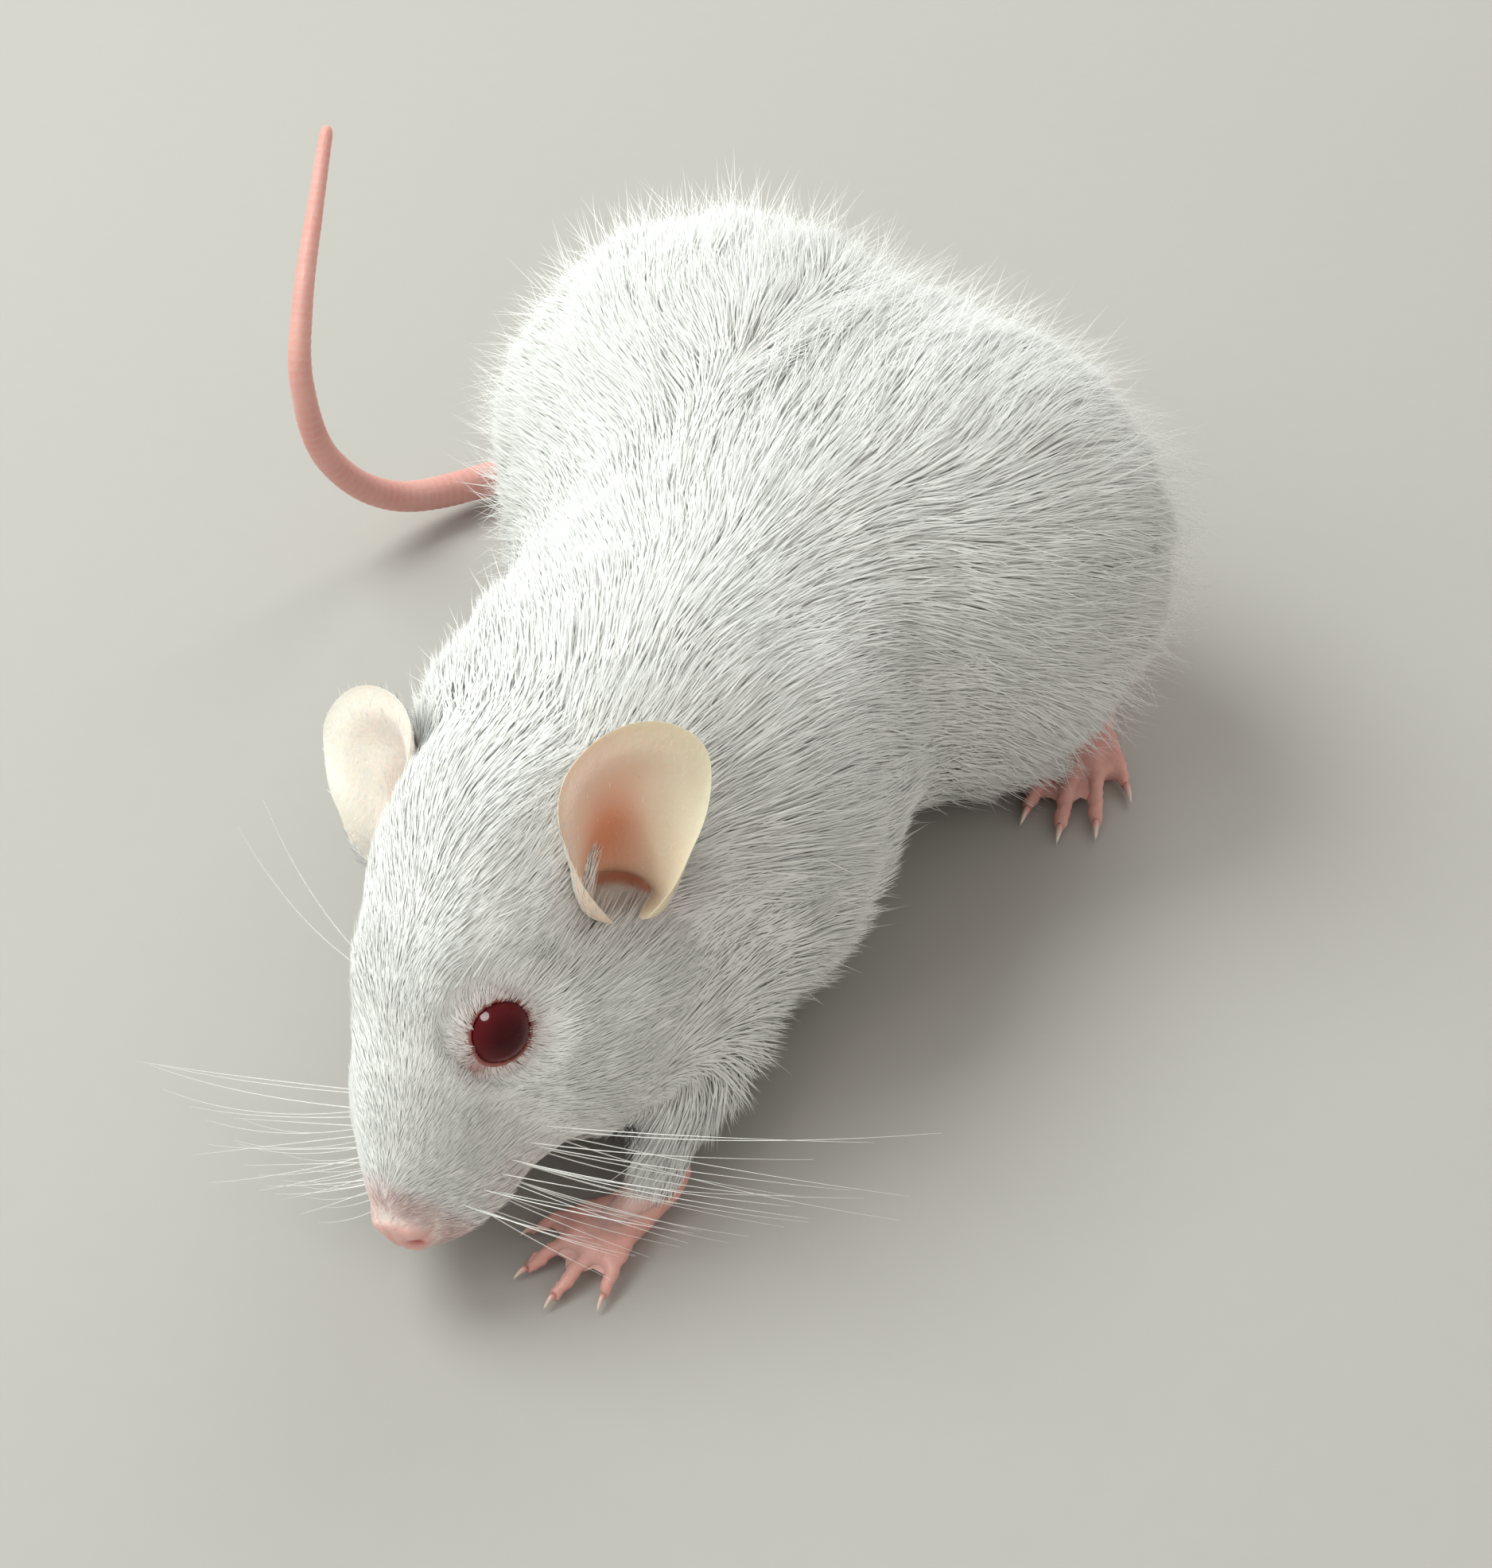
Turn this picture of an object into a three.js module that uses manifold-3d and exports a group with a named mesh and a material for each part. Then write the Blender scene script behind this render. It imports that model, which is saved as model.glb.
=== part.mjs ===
// A young adult white rat, life size, crouched on all fours on a floor. Millimetres.
// +Z is up and the floor is z = 0, -Y is the way the animal faces, +X is its left.
// The origin is on the floor under the middle of the belly.
//
// The trunk, neck and head are one closed skin of rings. Each ring point is found by walking
// out from the spine until it leaves a blend of ellipsoid masses (rib cage, haunches, cheeks...).
// The legs and the root of the tail are lofts joined to it. Thin cuts then part the whole into
// named pieces, and the rest of the tail follows in lengths.
import * as THREE from 'three';
import { mergeVertices } from 'three/addons/utils/BufferGeometryUtils.js';
import Module from 'manifold-3d';

// ---------------------------------------------------------------- driving dimensions
const GAP = 0.3; // left between two pieces that meet
const RING_SIDES = 24; // points round each ring of the body
const TRUNK_BLEND = 3.2; // how softly the masses of the trunk run together
const HEAD_BLEND = 1.5; // and those of the head
const NECK_BLEND = 2.2; // and the head into the trunk

const HEAD_SCALE = 0.937; // head masses below are for a nose-to-ear length of 35
const HEAD_ORIGIN = [-4.8, -38.9, 28.3]; // midway between the two ear notches
const HEAD_PITCH = 25.2; // degrees, nose down
const HEAD_ROLL = 16.2; // degrees, left side up

const EYE_RADIUS = 3.05;
const EYE_PLACE = [17, 6.6, 1.5]; // forward, outward and up in the head
const EYE_SEGMENTS = [12, 8];
const EAR_LENGTH = 18;
const EAR_WIDTH = 17; // measured round the curve of the cup
const EAR_THICKNESS = 0.9;
const EAR_ROOT_CURVE = 3.6; // radius of the cup at its root
const EAR_TIP_CURVE = 12; // and at its tip
const EAR_ROOT = [1.2, 10.2, -2.2]; // forward, outward and up in the head
const EAR_UP = [-0.62, 0.36, 0.7];
const EAR_FACING = { left: [0.52, 0.66, 0.5], right: [0.8, 0.42, 0.45] };
const CONCHA_RADIUS = 4.2; // the hollow in front of each ear
const CONCHA_HEIGHT = 0.4; // share of the ear's length at which it sits

const HIND_FOOT_LENGTH = 34;
const FORE_PAW_LENGTH = 14;
const TAIL_ROOT_RADIUS = 4.3;
const TAIL_TIP_RADIUS = 0.75;
const TAIL_SIDES = 8;
const TAIL_STEP = 3.9; // between its rings
const TAIL_CUTS = [0.18, 0.34, 0.5, 0.66, 0.83, 1]; // shares of its length where the tail is parted

// ---------------------------------------------------------------- colours
const COAT = { color: 0xeeece6, roughness: 0.9 };
const BARE_SKIN = { color: 0xe3a79c, roughness: 0.65 };
const EAR_SKIN = { color: 0xecc9b4, roughness: 0.7 };
const NOSE_SKIN = { color: 0xe08a86, roughness: 0.5 };
const EYE_RUBY = { color: 0x4a0a12, roughness: 0.08 };

// ---------------------------------------------------------------- small vector helpers
const vec = (p) => new THREE.Vector3(p[0], p[1], p[2]);
const radians = THREE.MathUtils.degToRad;
const mix = (a, b, t) => a + (b - a) * t;
const smooth = (t) => t * t * (3 - 2 * t);
const clamp01 = (t) => Math.min(1, Math.max(0, t));

// Head axes: forward along the muzzle, left, and up through the crown.
const headForward = new THREE.Vector3(0, -Math.cos(radians(HEAD_PITCH)), -Math.sin(radians(HEAD_PITCH)));
const levelUp = new THREE.Vector3(0, -Math.sin(radians(HEAD_PITCH)), Math.cos(radians(HEAD_PITCH)));
const levelLeft = new THREE.Vector3(1, 0, 0);
const roll = radians(HEAD_ROLL);
const headLeft = levelLeft.clone().multiplyScalar(Math.cos(roll)).addScaledVector(levelUp, Math.sin(roll));
const headUp = levelUp.clone().multiplyScalar(Math.cos(roll)).addScaledVector(levelLeft, -Math.sin(roll));

// A point of the head: f forward, l to the left and u up from the origin between the ear notches.
const headPoint = (f, l, u) => vec(HEAD_ORIGIN)
  .addScaledVector(headForward, f * HEAD_SCALE)
  .addScaledVector(headLeft, l * HEAD_SCALE)
  .addScaledVector(headUp, u * HEAD_SCALE);
const headDirection = (f, l, u) => new THREE.Vector3()
  .addScaledVector(headForward, f)
  .addScaledVector(headLeft, l)
  .addScaledVector(headUp, u)
  .normalize();

// ---------------------------------------------------------------- the masses of the body
const bodyAxes = [new THREE.Vector3(1, 0, 0), new THREE.Vector3(0, 1, 0), new THREE.Vector3(0, 0, 1)];
const headAxes = [headForward, headLeft, headUp];
const bodyMass = (centre, radii) => ({ centre: vec(centre), radii, axes: bodyAxes });
const headMass = (f, l, u, radii) => ({
  centre: headPoint(f, l, u), radii: radii.map((r) => r * HEAD_SCALE), axes: headAxes,
});
// A head mass and its twin on the other side.
const headPair = (f, l, u, radii) => [headMass(f, l, u, radii), headMass(f, -l, u, radii)];

const TRUNK_MASSES = [
  bodyMass([-1, -14, 21.5], [22.5, 20, 21.5]), // rib cage
  bodyMass([-1, 4, 22.5], [22, 22, 22.5]), // loin
  bodyMass([-0.5, 14, 20], [25.5, 15, 19]), // flanks
  bodyMass([0.5, 24, 22], [25, 22, 24]), // belly and pelvis
  bodyMass([14.2, 24, 24.5], [23.4, 23.6, 24.2]), // left haunch
  bodyMass([-13, 27.5, 26.5], [25.5, 25, 27.5]), // right haunch
  bodyMass([1.5, 41, 20], [14, 14, 16]), // rump above the root of the tail
  bodyMass([11, -22, 17], [10, 13, 15]), // left shoulder
  bodyMass([-13, -22, 17], [10, 13, 15]), // right shoulder
  bodyMass([-4, -29, 26], [14.5, 14, 14]), // neck
];
const HEAD_MASSES = [
  headMass(0, 0, 1, [14, 13, 12]), // back of the skull
  headMass(10, 0, 0.5, [13, 10.5, 9.5]), // crown and brow
  headMass(19, 0, -2.6, [12, 7, 7]), // bridge of the nose
  headMass(25, 0, -5.2, [9, 6.2, 6.2]), // muzzle
  headMass(30.2, 0, -7.8, [5.4, 5, 4.8]), // tip of the muzzle
  ...headPair(8, 8.1, -11.3, [14, 9, 12.4]), // cheeks
  ...headPair(26.5, 3.8, -9.5, [6.5, 3.6, 4.4]), // whisker pads
  headMass(16, 0, -12.5, [12.5, 7, 5.5]), // lower jaw
];

// Roughly the distance from a point to a mass, negative inside.
function distanceTo(mass, point) {
  const offset = point.clone().sub(mass.centre);
  let near = 0;
  let slope = 0;
  mass.axes.forEach((axis, i) => {
    const along = offset.dot(axis) / mass.radii[i];
    near += along * along;
    slope += (along / mass.radii[i]) ** 2;
  });
  if (slope === 0) return -Math.min(...mass.radii);
  const scaled = Math.sqrt(near);
  return (scaled * (scaled - 1)) / Math.sqrt(slope);
}
const blended = (distances, softness) => {
  const least = Math.min(...distances);
  return least - softness * Math.log(distances.reduce((sum, d) => sum + Math.exp((least - d) / softness), 0));
};
function flesh(point) {
  const trunk = blended(TRUNK_MASSES.map((mass) => distanceTo(mass, point)), TRUNK_BLEND);
  const head = blended(HEAD_MASSES.map((mass) => distanceTo(mass, point)), HEAD_BLEND);
  return blended([trunk, head], NECK_BLEND);
}

// ---------------------------------------------------------------- ring skins
// Closes a stack of rings, each an equal list of points, between two end points.
function skinOfRings(first, rings, last) {
  const sides = rings[0].length;
  const points = [first, ...rings.flat(), last];
  const index = [];
  const at = (ring, side) => 1 + ring * sides + (side % sides);
  const end = points.length - 1;
  for (let side = 0; side < sides; side += 1) {
    index.push(0, at(0, side + 1), at(0, side));
    for (let ring = 0; ring + 1 < rings.length; ring += 1) {
      const [a, b, c, d] = [at(ring, side), at(ring, side + 1), at(ring + 1, side + 1), at(ring + 1, side)];
      index.push(a, b, c, a, c, d);
    }
    index.push(end, at(rings.length - 1, side), at(rings.length - 1, side + 1));
  }
  const geometry = new THREE.BufferGeometry().setFromPoints(points);
  geometry.setIndex(index);
  return outward(geometry);
}

function volumeOf(geometry) {
  const p = geometry.attributes.position;
  const index = geometry.index.array;
  const [a, b, c] = [new THREE.Vector3(), new THREE.Vector3(), new THREE.Vector3()];
  let sum = 0;
  for (let i = 0; i < index.length; i += 3) {
    a.fromBufferAttribute(p, index[i]);
    b.fromBufferAttribute(p, index[i + 1]);
    c.fromBufferAttribute(p, index[i + 2]);
    sum += a.dot(b.cross(c)) / 6;
  }
  return sum;
}
function outward(geometry) {
  if (volumeOf(geometry) < 0) {
    const index = geometry.index.array;
    for (let i = 0; i < index.length; i += 3) [index[i], index[i + 1]] = [index[i + 1], index[i]];
  }
  return geometry;
}

// Walks out from a point inside until it leaves the flesh.
const WALK = { most: 200, near: 0.002, least: 0.01, share: 0.8 }; // steps, and mm
function surfaceFrom(centre, direction) {
  let reach = 0;
  const probe = new THREE.Vector3();
  for (let step = 0; step < WALK.most; step += 1) {
    const depth = flesh(probe.copy(centre).addScaledVector(direction, reach));
    if (depth > -WALK.near) break;
    reach += Math.max(WALK.least, -depth * WALK.share);
  }
  return probe.clone();
}

// The spine, from the rump to the muzzle, and where its rings stand.
const SPINE = new THREE.CatmullRomCurve3([
  vec([1.5, 36, 20]), vec([0.5, 22, 22]), vec([-0.3, 4, 22]), vec([-0.5, -14, 22.5]),
  vec([-3.2, -27, 25]), headPoint(3, 0, -1.5), headPoint(13, 0, -3), headPoint(22, 0, -5.5),
  headPoint(29.5, 0, -8),
], false, 'centripetal');
const REAR_FAN = 5; // rings that fan round the rump
const NOSE_FAN = 4; // and round the tip of the muzzle
const TRUNK_RINGS = 13;
const HEAD_RINGS = 14;
const HEAD_START = 0.52; // share of the spine where the closer rings of the head begin
const NECK_TURN = [0.36, 0.8]; // shares between which the rings turn to the head's own axes

function bodySkin() {
  const ringAt = (share, tilt) => {
    const centre = SPINE.getPointAt(share);
    const turned = smooth(clamp01((share - NECK_TURN[0]) / (NECK_TURN[1] - NECK_TURN[0])));
    const forward = bodyAxes[1].clone().negate().lerp(headForward, turned).normalize();
    const crown = bodyAxes[2].clone().lerp(headUp, turned);
    const left = crown.cross(forward).normalize();
    const up = forward.clone().cross(left).normalize();
    return Array.from({ length: RING_SIDES }, (_, side) => {
      const angle = (2 * Math.PI * side) / RING_SIDES;
      const direction = left.clone().multiplyScalar(Math.cos(angle) * Math.cos(tilt))
        .addScaledVector(up, Math.sin(angle) * Math.cos(tilt))
        .addScaledVector(forward, Math.sin(tilt));
      return surfaceFrom(centre, direction);
    });
  };
  const rings = [];
  for (let k = REAR_FAN; k > 0; k -= 1) rings.push(ringAt(0, (-k * Math.PI) / 2 / (REAR_FAN + 1)));
  for (let k = 0; k < TRUNK_RINGS; k += 1) rings.push(ringAt((HEAD_START * k) / TRUNK_RINGS, 0));
  for (let k = 0; k <= HEAD_RINGS; k += 1) rings.push(ringAt(mix(HEAD_START, 1, k / HEAD_RINGS), 0));
  for (let k = 1; k <= NOSE_FAN; k += 1) rings.push(ringAt(1, (k * Math.PI) / 2 / (NOSE_FAN + 1)));
  const rear = surfaceFrom(SPINE.getPointAt(0), bodyAxes[1]);
  const front = surfaceFrom(SPINE.getPointAt(1), headForward);
  return skinOfRings(rear, rings, front);
}

// A loft along a smooth path. Stations are [point, half width, half height], evenly used along it.
const CAP_REACH = 0.8; // how far its end points stand out, as a share of the half height
function loft(stations, sides, steps, upHint = [0, 0, 1]) {
  const points = stations.map(([point]) => (point.isVector3 ? point : vec(point)));
  const path = new THREE.CatmullRomCurve3(points, false, 'centripetal');
  const hint = vec(upHint).normalize();
  const size = (t, i) => {
    const place = t * (stations.length - 1);
    const k = Math.min(Math.floor(place), stations.length - 2);
    return mix(stations[k][i], stations[k + 1][i], smooth(place - k));
  };
  const ring = (t) => {
    const forward = path.getTangent(t);
    const left = hint.clone().cross(forward).normalize();
    const up = forward.clone().cross(left).normalize();
    return Array.from({ length: sides }, (_, side) => {
      const angle = (2 * Math.PI * (side + 0.5)) / sides;
      return path.getPoint(t).addScaledVector(left, Math.cos(angle) * size(t, 1))
        .addScaledVector(up, Math.sin(angle) * size(t, 2));
    });
  };
  const cap = (t, sign) => path.getPoint(t)
    .addScaledVector(path.getTangent(t), CAP_REACH * sign * size(t, 2));
  return skinOfRings(cap(0, -1), Array.from({ length: steps + 1 }, (_, k) => ring(k / steps)), cap(1, 1));
}

// ---------------------------------------------------------------- solids: joins and cuts
const wasm = await Module();
wasm.setup();

function toSolid(geometry) {
  const bare = geometry.clone();
  for (const name of Object.keys(bare.attributes)) if (name !== 'position') bare.deleteAttribute(name);
  const merged = mergeVertices(bare, 1e-4);
  return new wasm.Manifold(new wasm.Mesh({
    numProp: 3,
    vertProperties: new Float32Array(merged.attributes.position.array),
    triVerts: new Uint32Array(merged.index.array),
  }));
}
function toGeometry(solid) {
  const { vertProperties, triVerts } = solid.getMesh();
  const geometry = new THREE.BufferGeometry();
  geometry.setAttribute('position', new THREE.BufferAttribute(new Float32Array(vertProperties), 3));
  geometry.setIndex(new THREE.BufferAttribute(new Uint32Array(triVerts), 1));
  const main = mainBody(geometry);
  main.computeVertexNormals();
  return main;
}
// Drops the crumbs that cuts leave beside the main body of a piece.
function mainBody(geometry) {
  const index = geometry.index.array;
  const leader = Array.from({ length: geometry.attributes.position.count }, (_, i) => i);
  const find = (i) => {
    let top = i;
    while (leader[top] !== top) top = leader[top];
    return top;
  };
  for (let i = 0; i < index.length; i += 3) {
    leader[find(index[i])] = find(index[i + 1]);
    leader[find(index[i + 1])] = find(index[i + 2]);
  }
  const bodies = new Map();
  for (let i = 0; i < index.length; i += 3) {
    const top = find(index[i]);
    if (!bodies.has(top)) bodies.set(top, []);
    bodies.get(top).push(index[i], index[i + 1], index[i + 2]);
  }
  const body = [...bodies.values()].sort((a, b) => b.length - a.length)[0];
  return mergeVertices(geometry.clone().setIndex(body).toNonIndexed());
}
const joined = (solids) => solids.reduce((sum, solid) => sum.add(solid));

// A box region: centre, full sizes and a heading in degrees about Z. "grow" widens it all round.
function region(centre, sizes, heading = 0, grow = 0) {
  const box = new THREE.BoxGeometry(...sizes.map((s) => s + 2 * grow));
  return toSolid(box.rotateZ(radians(heading)).translate(...centre));
}
// A box region in the head's axes: spans along forward, left and up.
function headRegion(f, l, u, grow = 0) {
  const sizes = [f, l, u].map(([a, b]) => (b - a) * HEAD_SCALE + 2 * grow);
  const box = new THREE.BoxGeometry(...sizes);
  const basis = new THREE.Matrix4().makeBasis(headForward, headLeft, headUp);
  basis.setPosition(headPoint((f[0] + f[1]) / 2, (l[0] + l[1]) / 2, (u[0] + u[1]) / 2));
  return toSolid(box.applyMatrix4(basis));
}

// ---------------------------------------------------------------- legs
const SOLE_LIFT = 0.55; // height of the middle of the sole, as a share of its half height
const TOE_ROOT = { depth: 1.5, height: 2.2 }; // where each toe starts inside the sole
const TOE_ARCH = 1.3; // how far its knuckle is lifted

// A foot with its toes, flat on the floor, from a heel point in a heading (degrees from -Y toward +X).
function foot({ heel, heading, length, soleWidths, soleHeights, toes }) {
  const turn = radians(heading);
  const forward = new THREE.Vector3(Math.sin(turn), -Math.cos(turn), 0);
  const across = new THREE.Vector3(Math.cos(turn), Math.sin(turn), 0);
  const place = (f, s, z) => vec(heel).addScaledVector(forward, f).addScaledVector(across, s).setZ(z);
  const last = soleWidths.length - 1;
  const soleAt = (i) => place((length * i) / last, 0, soleHeights[i] * SOLE_LIFT);
  const sole = loft(soleWidths.map((w, i) => [soleAt(i), w, soleHeights[i]]), 8, 3);
  const digits = toes.map(({ from, side, reach, splay, radius }) => {
    const s = Math.sin(radians(splay));
    const c = Math.cos(radians(splay));
    const along = (d, z) => place(from + d * c, side + d * s, z);
    return loft([
      [along(-TOE_ROOT.depth, TOE_ROOT.height), radius, radius],
      [along(reach * 0.45, radius + TOE_ARCH), radius * 0.9, radius * 0.95], // knuckle
      [along(reach * 0.75, radius), radius * 0.95, radius * 0.9], // pad
      [along(reach, radius * 0.75), radius * 0.75, radius * 0.75],
    ], 5, 2);
  });
  return joined([sole, ...digits].map(toSolid));
}
const mirrored = (toes, sign) => toes.map((toe) => (
  { ...toe, side: toe.side * sign, splay: toe.splay * sign }));

const HIND_TOES = [ // from the inner toe to the outer one, for a left foot
  { from: 19.5, side: -3.6, reach: 5.5, splay: -26, radius: 1.05 },
  { from: 22.5, side: -2.3, reach: 9, splay: -10, radius: 1.15 },
  { from: 23.2, side: 0, reach: 10, splay: 0, radius: 1.2 },
  { from: 22.5, side: 2.2, reach: 9.2, splay: 9, radius: 1.15 },
  { from: 19.5, side: 3.6, reach: 6, splay: 24, radius: 1.05 },
];
const FORE_TOES = [
  { from: 6.2, side: -2.9, reach: 4.6, splay: -26, radius: 0.95 },
  { from: 7.4, side: -1.1, reach: 6.2, splay: -8, radius: 1.0 },
  { from: 7.4, side: 1.1, reach: 6.2, splay: 8, radius: 1.0 },
  { from: 6.2, side: 2.9, reach: 4.6, splay: 26, radius: 0.95 },
];
const HIND_TOE_REACH = 10; // of the middle toe past the sole
const FORE_TOE_REACH = 6;
const hindFoot = (heel, heading, sign) => foot({
  heel,
  heading,
  length: HIND_FOOT_LENGTH - HIND_TOE_REACH,
  soleWidths: [2.6, 2.9, 3.6, 4.6],
  soleHeights: [3, 3, 2.8, 2.2],
  toes: mirrored(HIND_TOES, sign),
});
const forePaw = (heel, heading, sign) => foot({
  heel,
  heading,
  length: FORE_PAW_LENGTH - FORE_TOE_REACH,
  soleWidths: [2.3, 2.9, 3.6],
  soleHeights: [2.6, 2.4, 2.0],
  toes: mirrored(FORE_TOES, sign),
});

const LEFT_HIND = { heel: [27, 46, 0], heading: 9 };
const RIGHT_HIND = { heel: [-26, 47, 0], heading: -7 };
const LEFT_FORE = { heel: [13.5, -49, 0], heading: -24 };
const RIGHT_FORE = { heel: [-10.8, -36.5, 0], heading: 2 };

// Stations of the legs: inward, back and up from the heel, then half width and half height.
const SHANK = [[3, -29, 11, 7.5, 7.5], [1, -15, 9, 6, 6], [0, -1, 4.5, 3.2, 3.6]];
const FOREARM = [[1.5, 24, 15, 6.5, 7], [0.5, 13, 9.5, 5, 5.4], [0, -1, 3.4, 2.7, 2.9]];
const LIMB_UP = [0, 0.3, 1];

function limb({ heel }, stations, sign) {
  const [x, y] = heel;
  const placed = stations.map(([inward, back, up, width, height]) => (
    [[x - sign * inward, y + back, up], width, height]));
  return toSolid(loft(placed, 10, 4, LIMB_UP));
}
const hindLeg = (leg, sign) => joined([limb(leg, SHANK, sign), hindFoot(leg.heel, leg.heading, sign)]);
const foreLeg = (leg, sign) => joined([limb(leg, FOREARM, sign), forePaw(leg.heel, leg.heading, sign)]);

// ---------------------------------------------------------------- tail
const TAIL_PATH = new THREE.CatmullRomCurve3([
  [2, 42, 17], [1, 53, 11.5], [-7, 62.5, 6.4], [-20, 67, 4], [-36, 62, 3.3], [-50, 48, 3], [-59.5, 33, 5.6],
  [-64, 25, 14.5], [-65, 23, 26], [-66.8, 28, 34], [-69.4, 36.5, 40.8], [-72, 45, 47],
].map(vec), false, 'centripetal');
const TAIL_LENGTH = TAIL_PATH.getLength();
const TAIL_UP = vec([0.9, 0, 1]); // never along the tail
const TAIL_FLARE = { width: 1.6, fade: 14 }; // how it widens into the rump
const TAIL_TAPER = 0.85;
const tailRadius = (t) => mix(TAIL_ROOT_RADIUS, TAIL_TIP_RADIUS, t ** TAIL_TAPER)
  + TAIL_FLARE.width * Math.exp(-t * TAIL_FLARE.fade);

// One length of the tail between two shares of it, with flat ends, or a round end at the tip.
function tailLength(from, to) {
  const steps = Math.ceil(((to - from) * TAIL_LENGTH) / TAIL_STEP);
  const rings = Array.from({ length: steps + 1 }, (_, k) => {
    const t = mix(from, to, k / steps);
    const centre = TAIL_PATH.getPointAt(t);
    const forward = TAIL_PATH.getTangentAt(t);
    const left = TAIL_UP.clone().cross(forward).normalize();
    const up = forward.clone().cross(left);
    return Array.from({ length: TAIL_SIDES }, (__, side) => {
      const angle = (2 * Math.PI * side) / TAIL_SIDES;
      return centre.clone().addScaledVector(left, Math.cos(angle) * tailRadius(t))
        .addScaledVector(up, Math.sin(angle) * tailRadius(t));
    });
  });
  const tip = TAIL_PATH.getPointAt(to);
  if (to === 1) tip.addScaledVector(TAIL_PATH.getTangentAt(1), TAIL_TIP_RADIUS);
  return skinOfRings(TAIL_PATH.getPointAt(from), rings, tip);
}

// ---------------------------------------------------------------- ears
// A thin leaf rolled into a cup: a front sheet and a back sheet of rings that share their rim.
const EAR_RINGS = 4;
const EAR_SIDES = 16;

function earAxes(side, sign) {
  const turned = ([f, l, u]) => headDirection(f, sign * l, u);
  const root = headPoint(EAR_ROOT[0], sign * EAR_ROOT[1], EAR_ROOT[2]);
  const up = turned(EAR_UP);
  const across = up.clone().cross(turned(EAR_FACING[side])).normalize();
  return { root, up, across, facing: across.clone().cross(up) };
}
function earShell(side, sign, grow = 0) {
  const { root, up, across, facing } = earAxes(side, sign);
  const spread = 1 + (2 * grow) / EAR_WIDTH;
  const leaf = (share, angle, back) => {
    const v = 0.5 + 0.5 * share * Math.sin(angle);
    const curve = 1 / mix(1 / EAR_ROOT_CURVE, 1 / EAR_TIP_CURVE, smooth(v));
    const arc = (share * Math.cos(angle) * EAR_WIDTH) / 2 / curve;
    const reach = curve + (back ? EAR_THICKNESS + grow : -grow);
    return root.clone().addScaledVector(up, EAR_LENGTH * v)
      .addScaledVector(across, Math.sin(arc) * reach).addScaledVector(facing, curve - Math.cos(arc) * reach);
  };
  const ring = (share, back) => Array.from({ length: EAR_SIDES }, (_, k) => (
    leaf(share * spread, (2 * Math.PI * k) / EAR_SIDES, back)));
  const rings = [];
  for (let k = 1; k <= EAR_RINGS; k += 1) rings.push(ring(k / EAR_RINGS, 0));
  for (let k = EAR_RINGS; k > 0; k -= 1) rings.push(ring(k / EAR_RINGS, 1));
  return toSolid(skinOfRings(leaf(0, 0, 0), rings, leaf(0, 0, 1)));
}

// The hollow that the cup opens into.
function concha(side, sign) {
  const { root, up, facing } = earAxes(side, sign);
  const hollow = new THREE.SphereGeometry(CONCHA_RADIUS, 12, 8);
  const middle = root.clone().addScaledVector(up, CONCHA_HEIGHT * EAR_LENGTH)
    .addScaledVector(facing, CONCHA_RADIUS);
  return toSolid(hollow.translate(...middle.toArray()));
}

// ---------------------------------------------------------------- eyes
function eyeBall(sign, radius) {
  const [forward, out, up] = EYE_PLACE;
  const ball = new THREE.SphereGeometry(radius, ...EYE_SEGMENTS);
  return ball.translate(...headPoint(forward, sign * out, up).toArray());
}

// ---------------------------------------------------------------- putting it together
const group = new THREE.Group();
function addNode(name, geometry, finish) {
  const mesh = new THREE.Mesh(geometry, new THREE.MeshStandardMaterial({ ...finish, metalness: 0 }));
  mesh.name = name;
  group.add(mesh);
}

const SIDES = [['left', 1], ['right', -1]];
const LEGS = { left: { hind: LEFT_HIND, fore: LEFT_FORE }, right: { hind: RIGHT_HIND, fore: RIGHT_FORE } };

const UNDER_FLOOR = region([0, 0, -20], [300, 300, 40]);
let whole = joined([
  toSolid(bodySkin()),
  toSolid(tailLength(0, TAIL_CUTS[0])),
  ...SIDES.flatMap(([side, sign]) => [hindLeg(LEGS[side].hind, sign), foreLeg(LEGS[side].fore, sign)]),
]).subtract(UNDER_FLOOR); // everything is flat where it meets the floor

for (const [side, sign] of SIDES) {
  whole = whole.subtract(concha(side, sign)).add(earShell(side, sign));
  whole = whole.subtract(toSolid(eyeBall(sign, EYE_RADIUS + GAP)));
  addNode(`eye_${side}`, eyeBall(sign, EYE_RADIUS), EYE_RUBY);
}

// Takes the part of the whole that lies in a region, and leaves a gap round it.
function part(name, makeRegion, finish = COAT) {
  addNode(name, toGeometry(whole.intersect(makeRegion(0))), finish);
  whole = whole.subtract(makeRegion(GAP));
}
// A box between two corners.
const between = (low, high) => (grow) => region(
  low.map((v, i) => (v + high[i]) / 2), low.map((v, i) => high[i] - v), 0, grow,
);
// A box between two corners, which are x outward on one side of the body.
const onSide = (sign, [near, y0, z0], [far, y1, z1]) => (
  sign > 0 ? between([near, y0, z0], [far, y1, z1]) : between([-far, y0, z0], [-near, y1, z1]));
// A box laid along a foot from its heel.
const alongFoot = ({ heel, heading }, [behind, ahead], halfWidth, [low, high]) => (grow) => {
  const turn = radians(heading);
  const middle = (behind + ahead) / 2;
  const centre = [heel[0] + middle * Math.sin(turn), heel[1] - middle * Math.cos(turn), (low + high) / 2];
  return region(centre, [2 * halfWidth, ahead - behind, high - low], heading, grow);
};

// Where the cuts run. WIDE is past the body on every side.
const WIDE = 80;
const WRIST = 4.4; // heights of the cuts above the feet
const ELBOW = 12.5;
const ANKLE = 4.8;
const KNEE = 11;
const SHOULDER = { inner: 10, front: -36, back: -10 };
const THIGH = { inner: 12, front: 1 };
const NECK = { back: -20, under: 12 };
const CHEST_BACK = -4;
const BELLY_BACK = 18;

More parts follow.
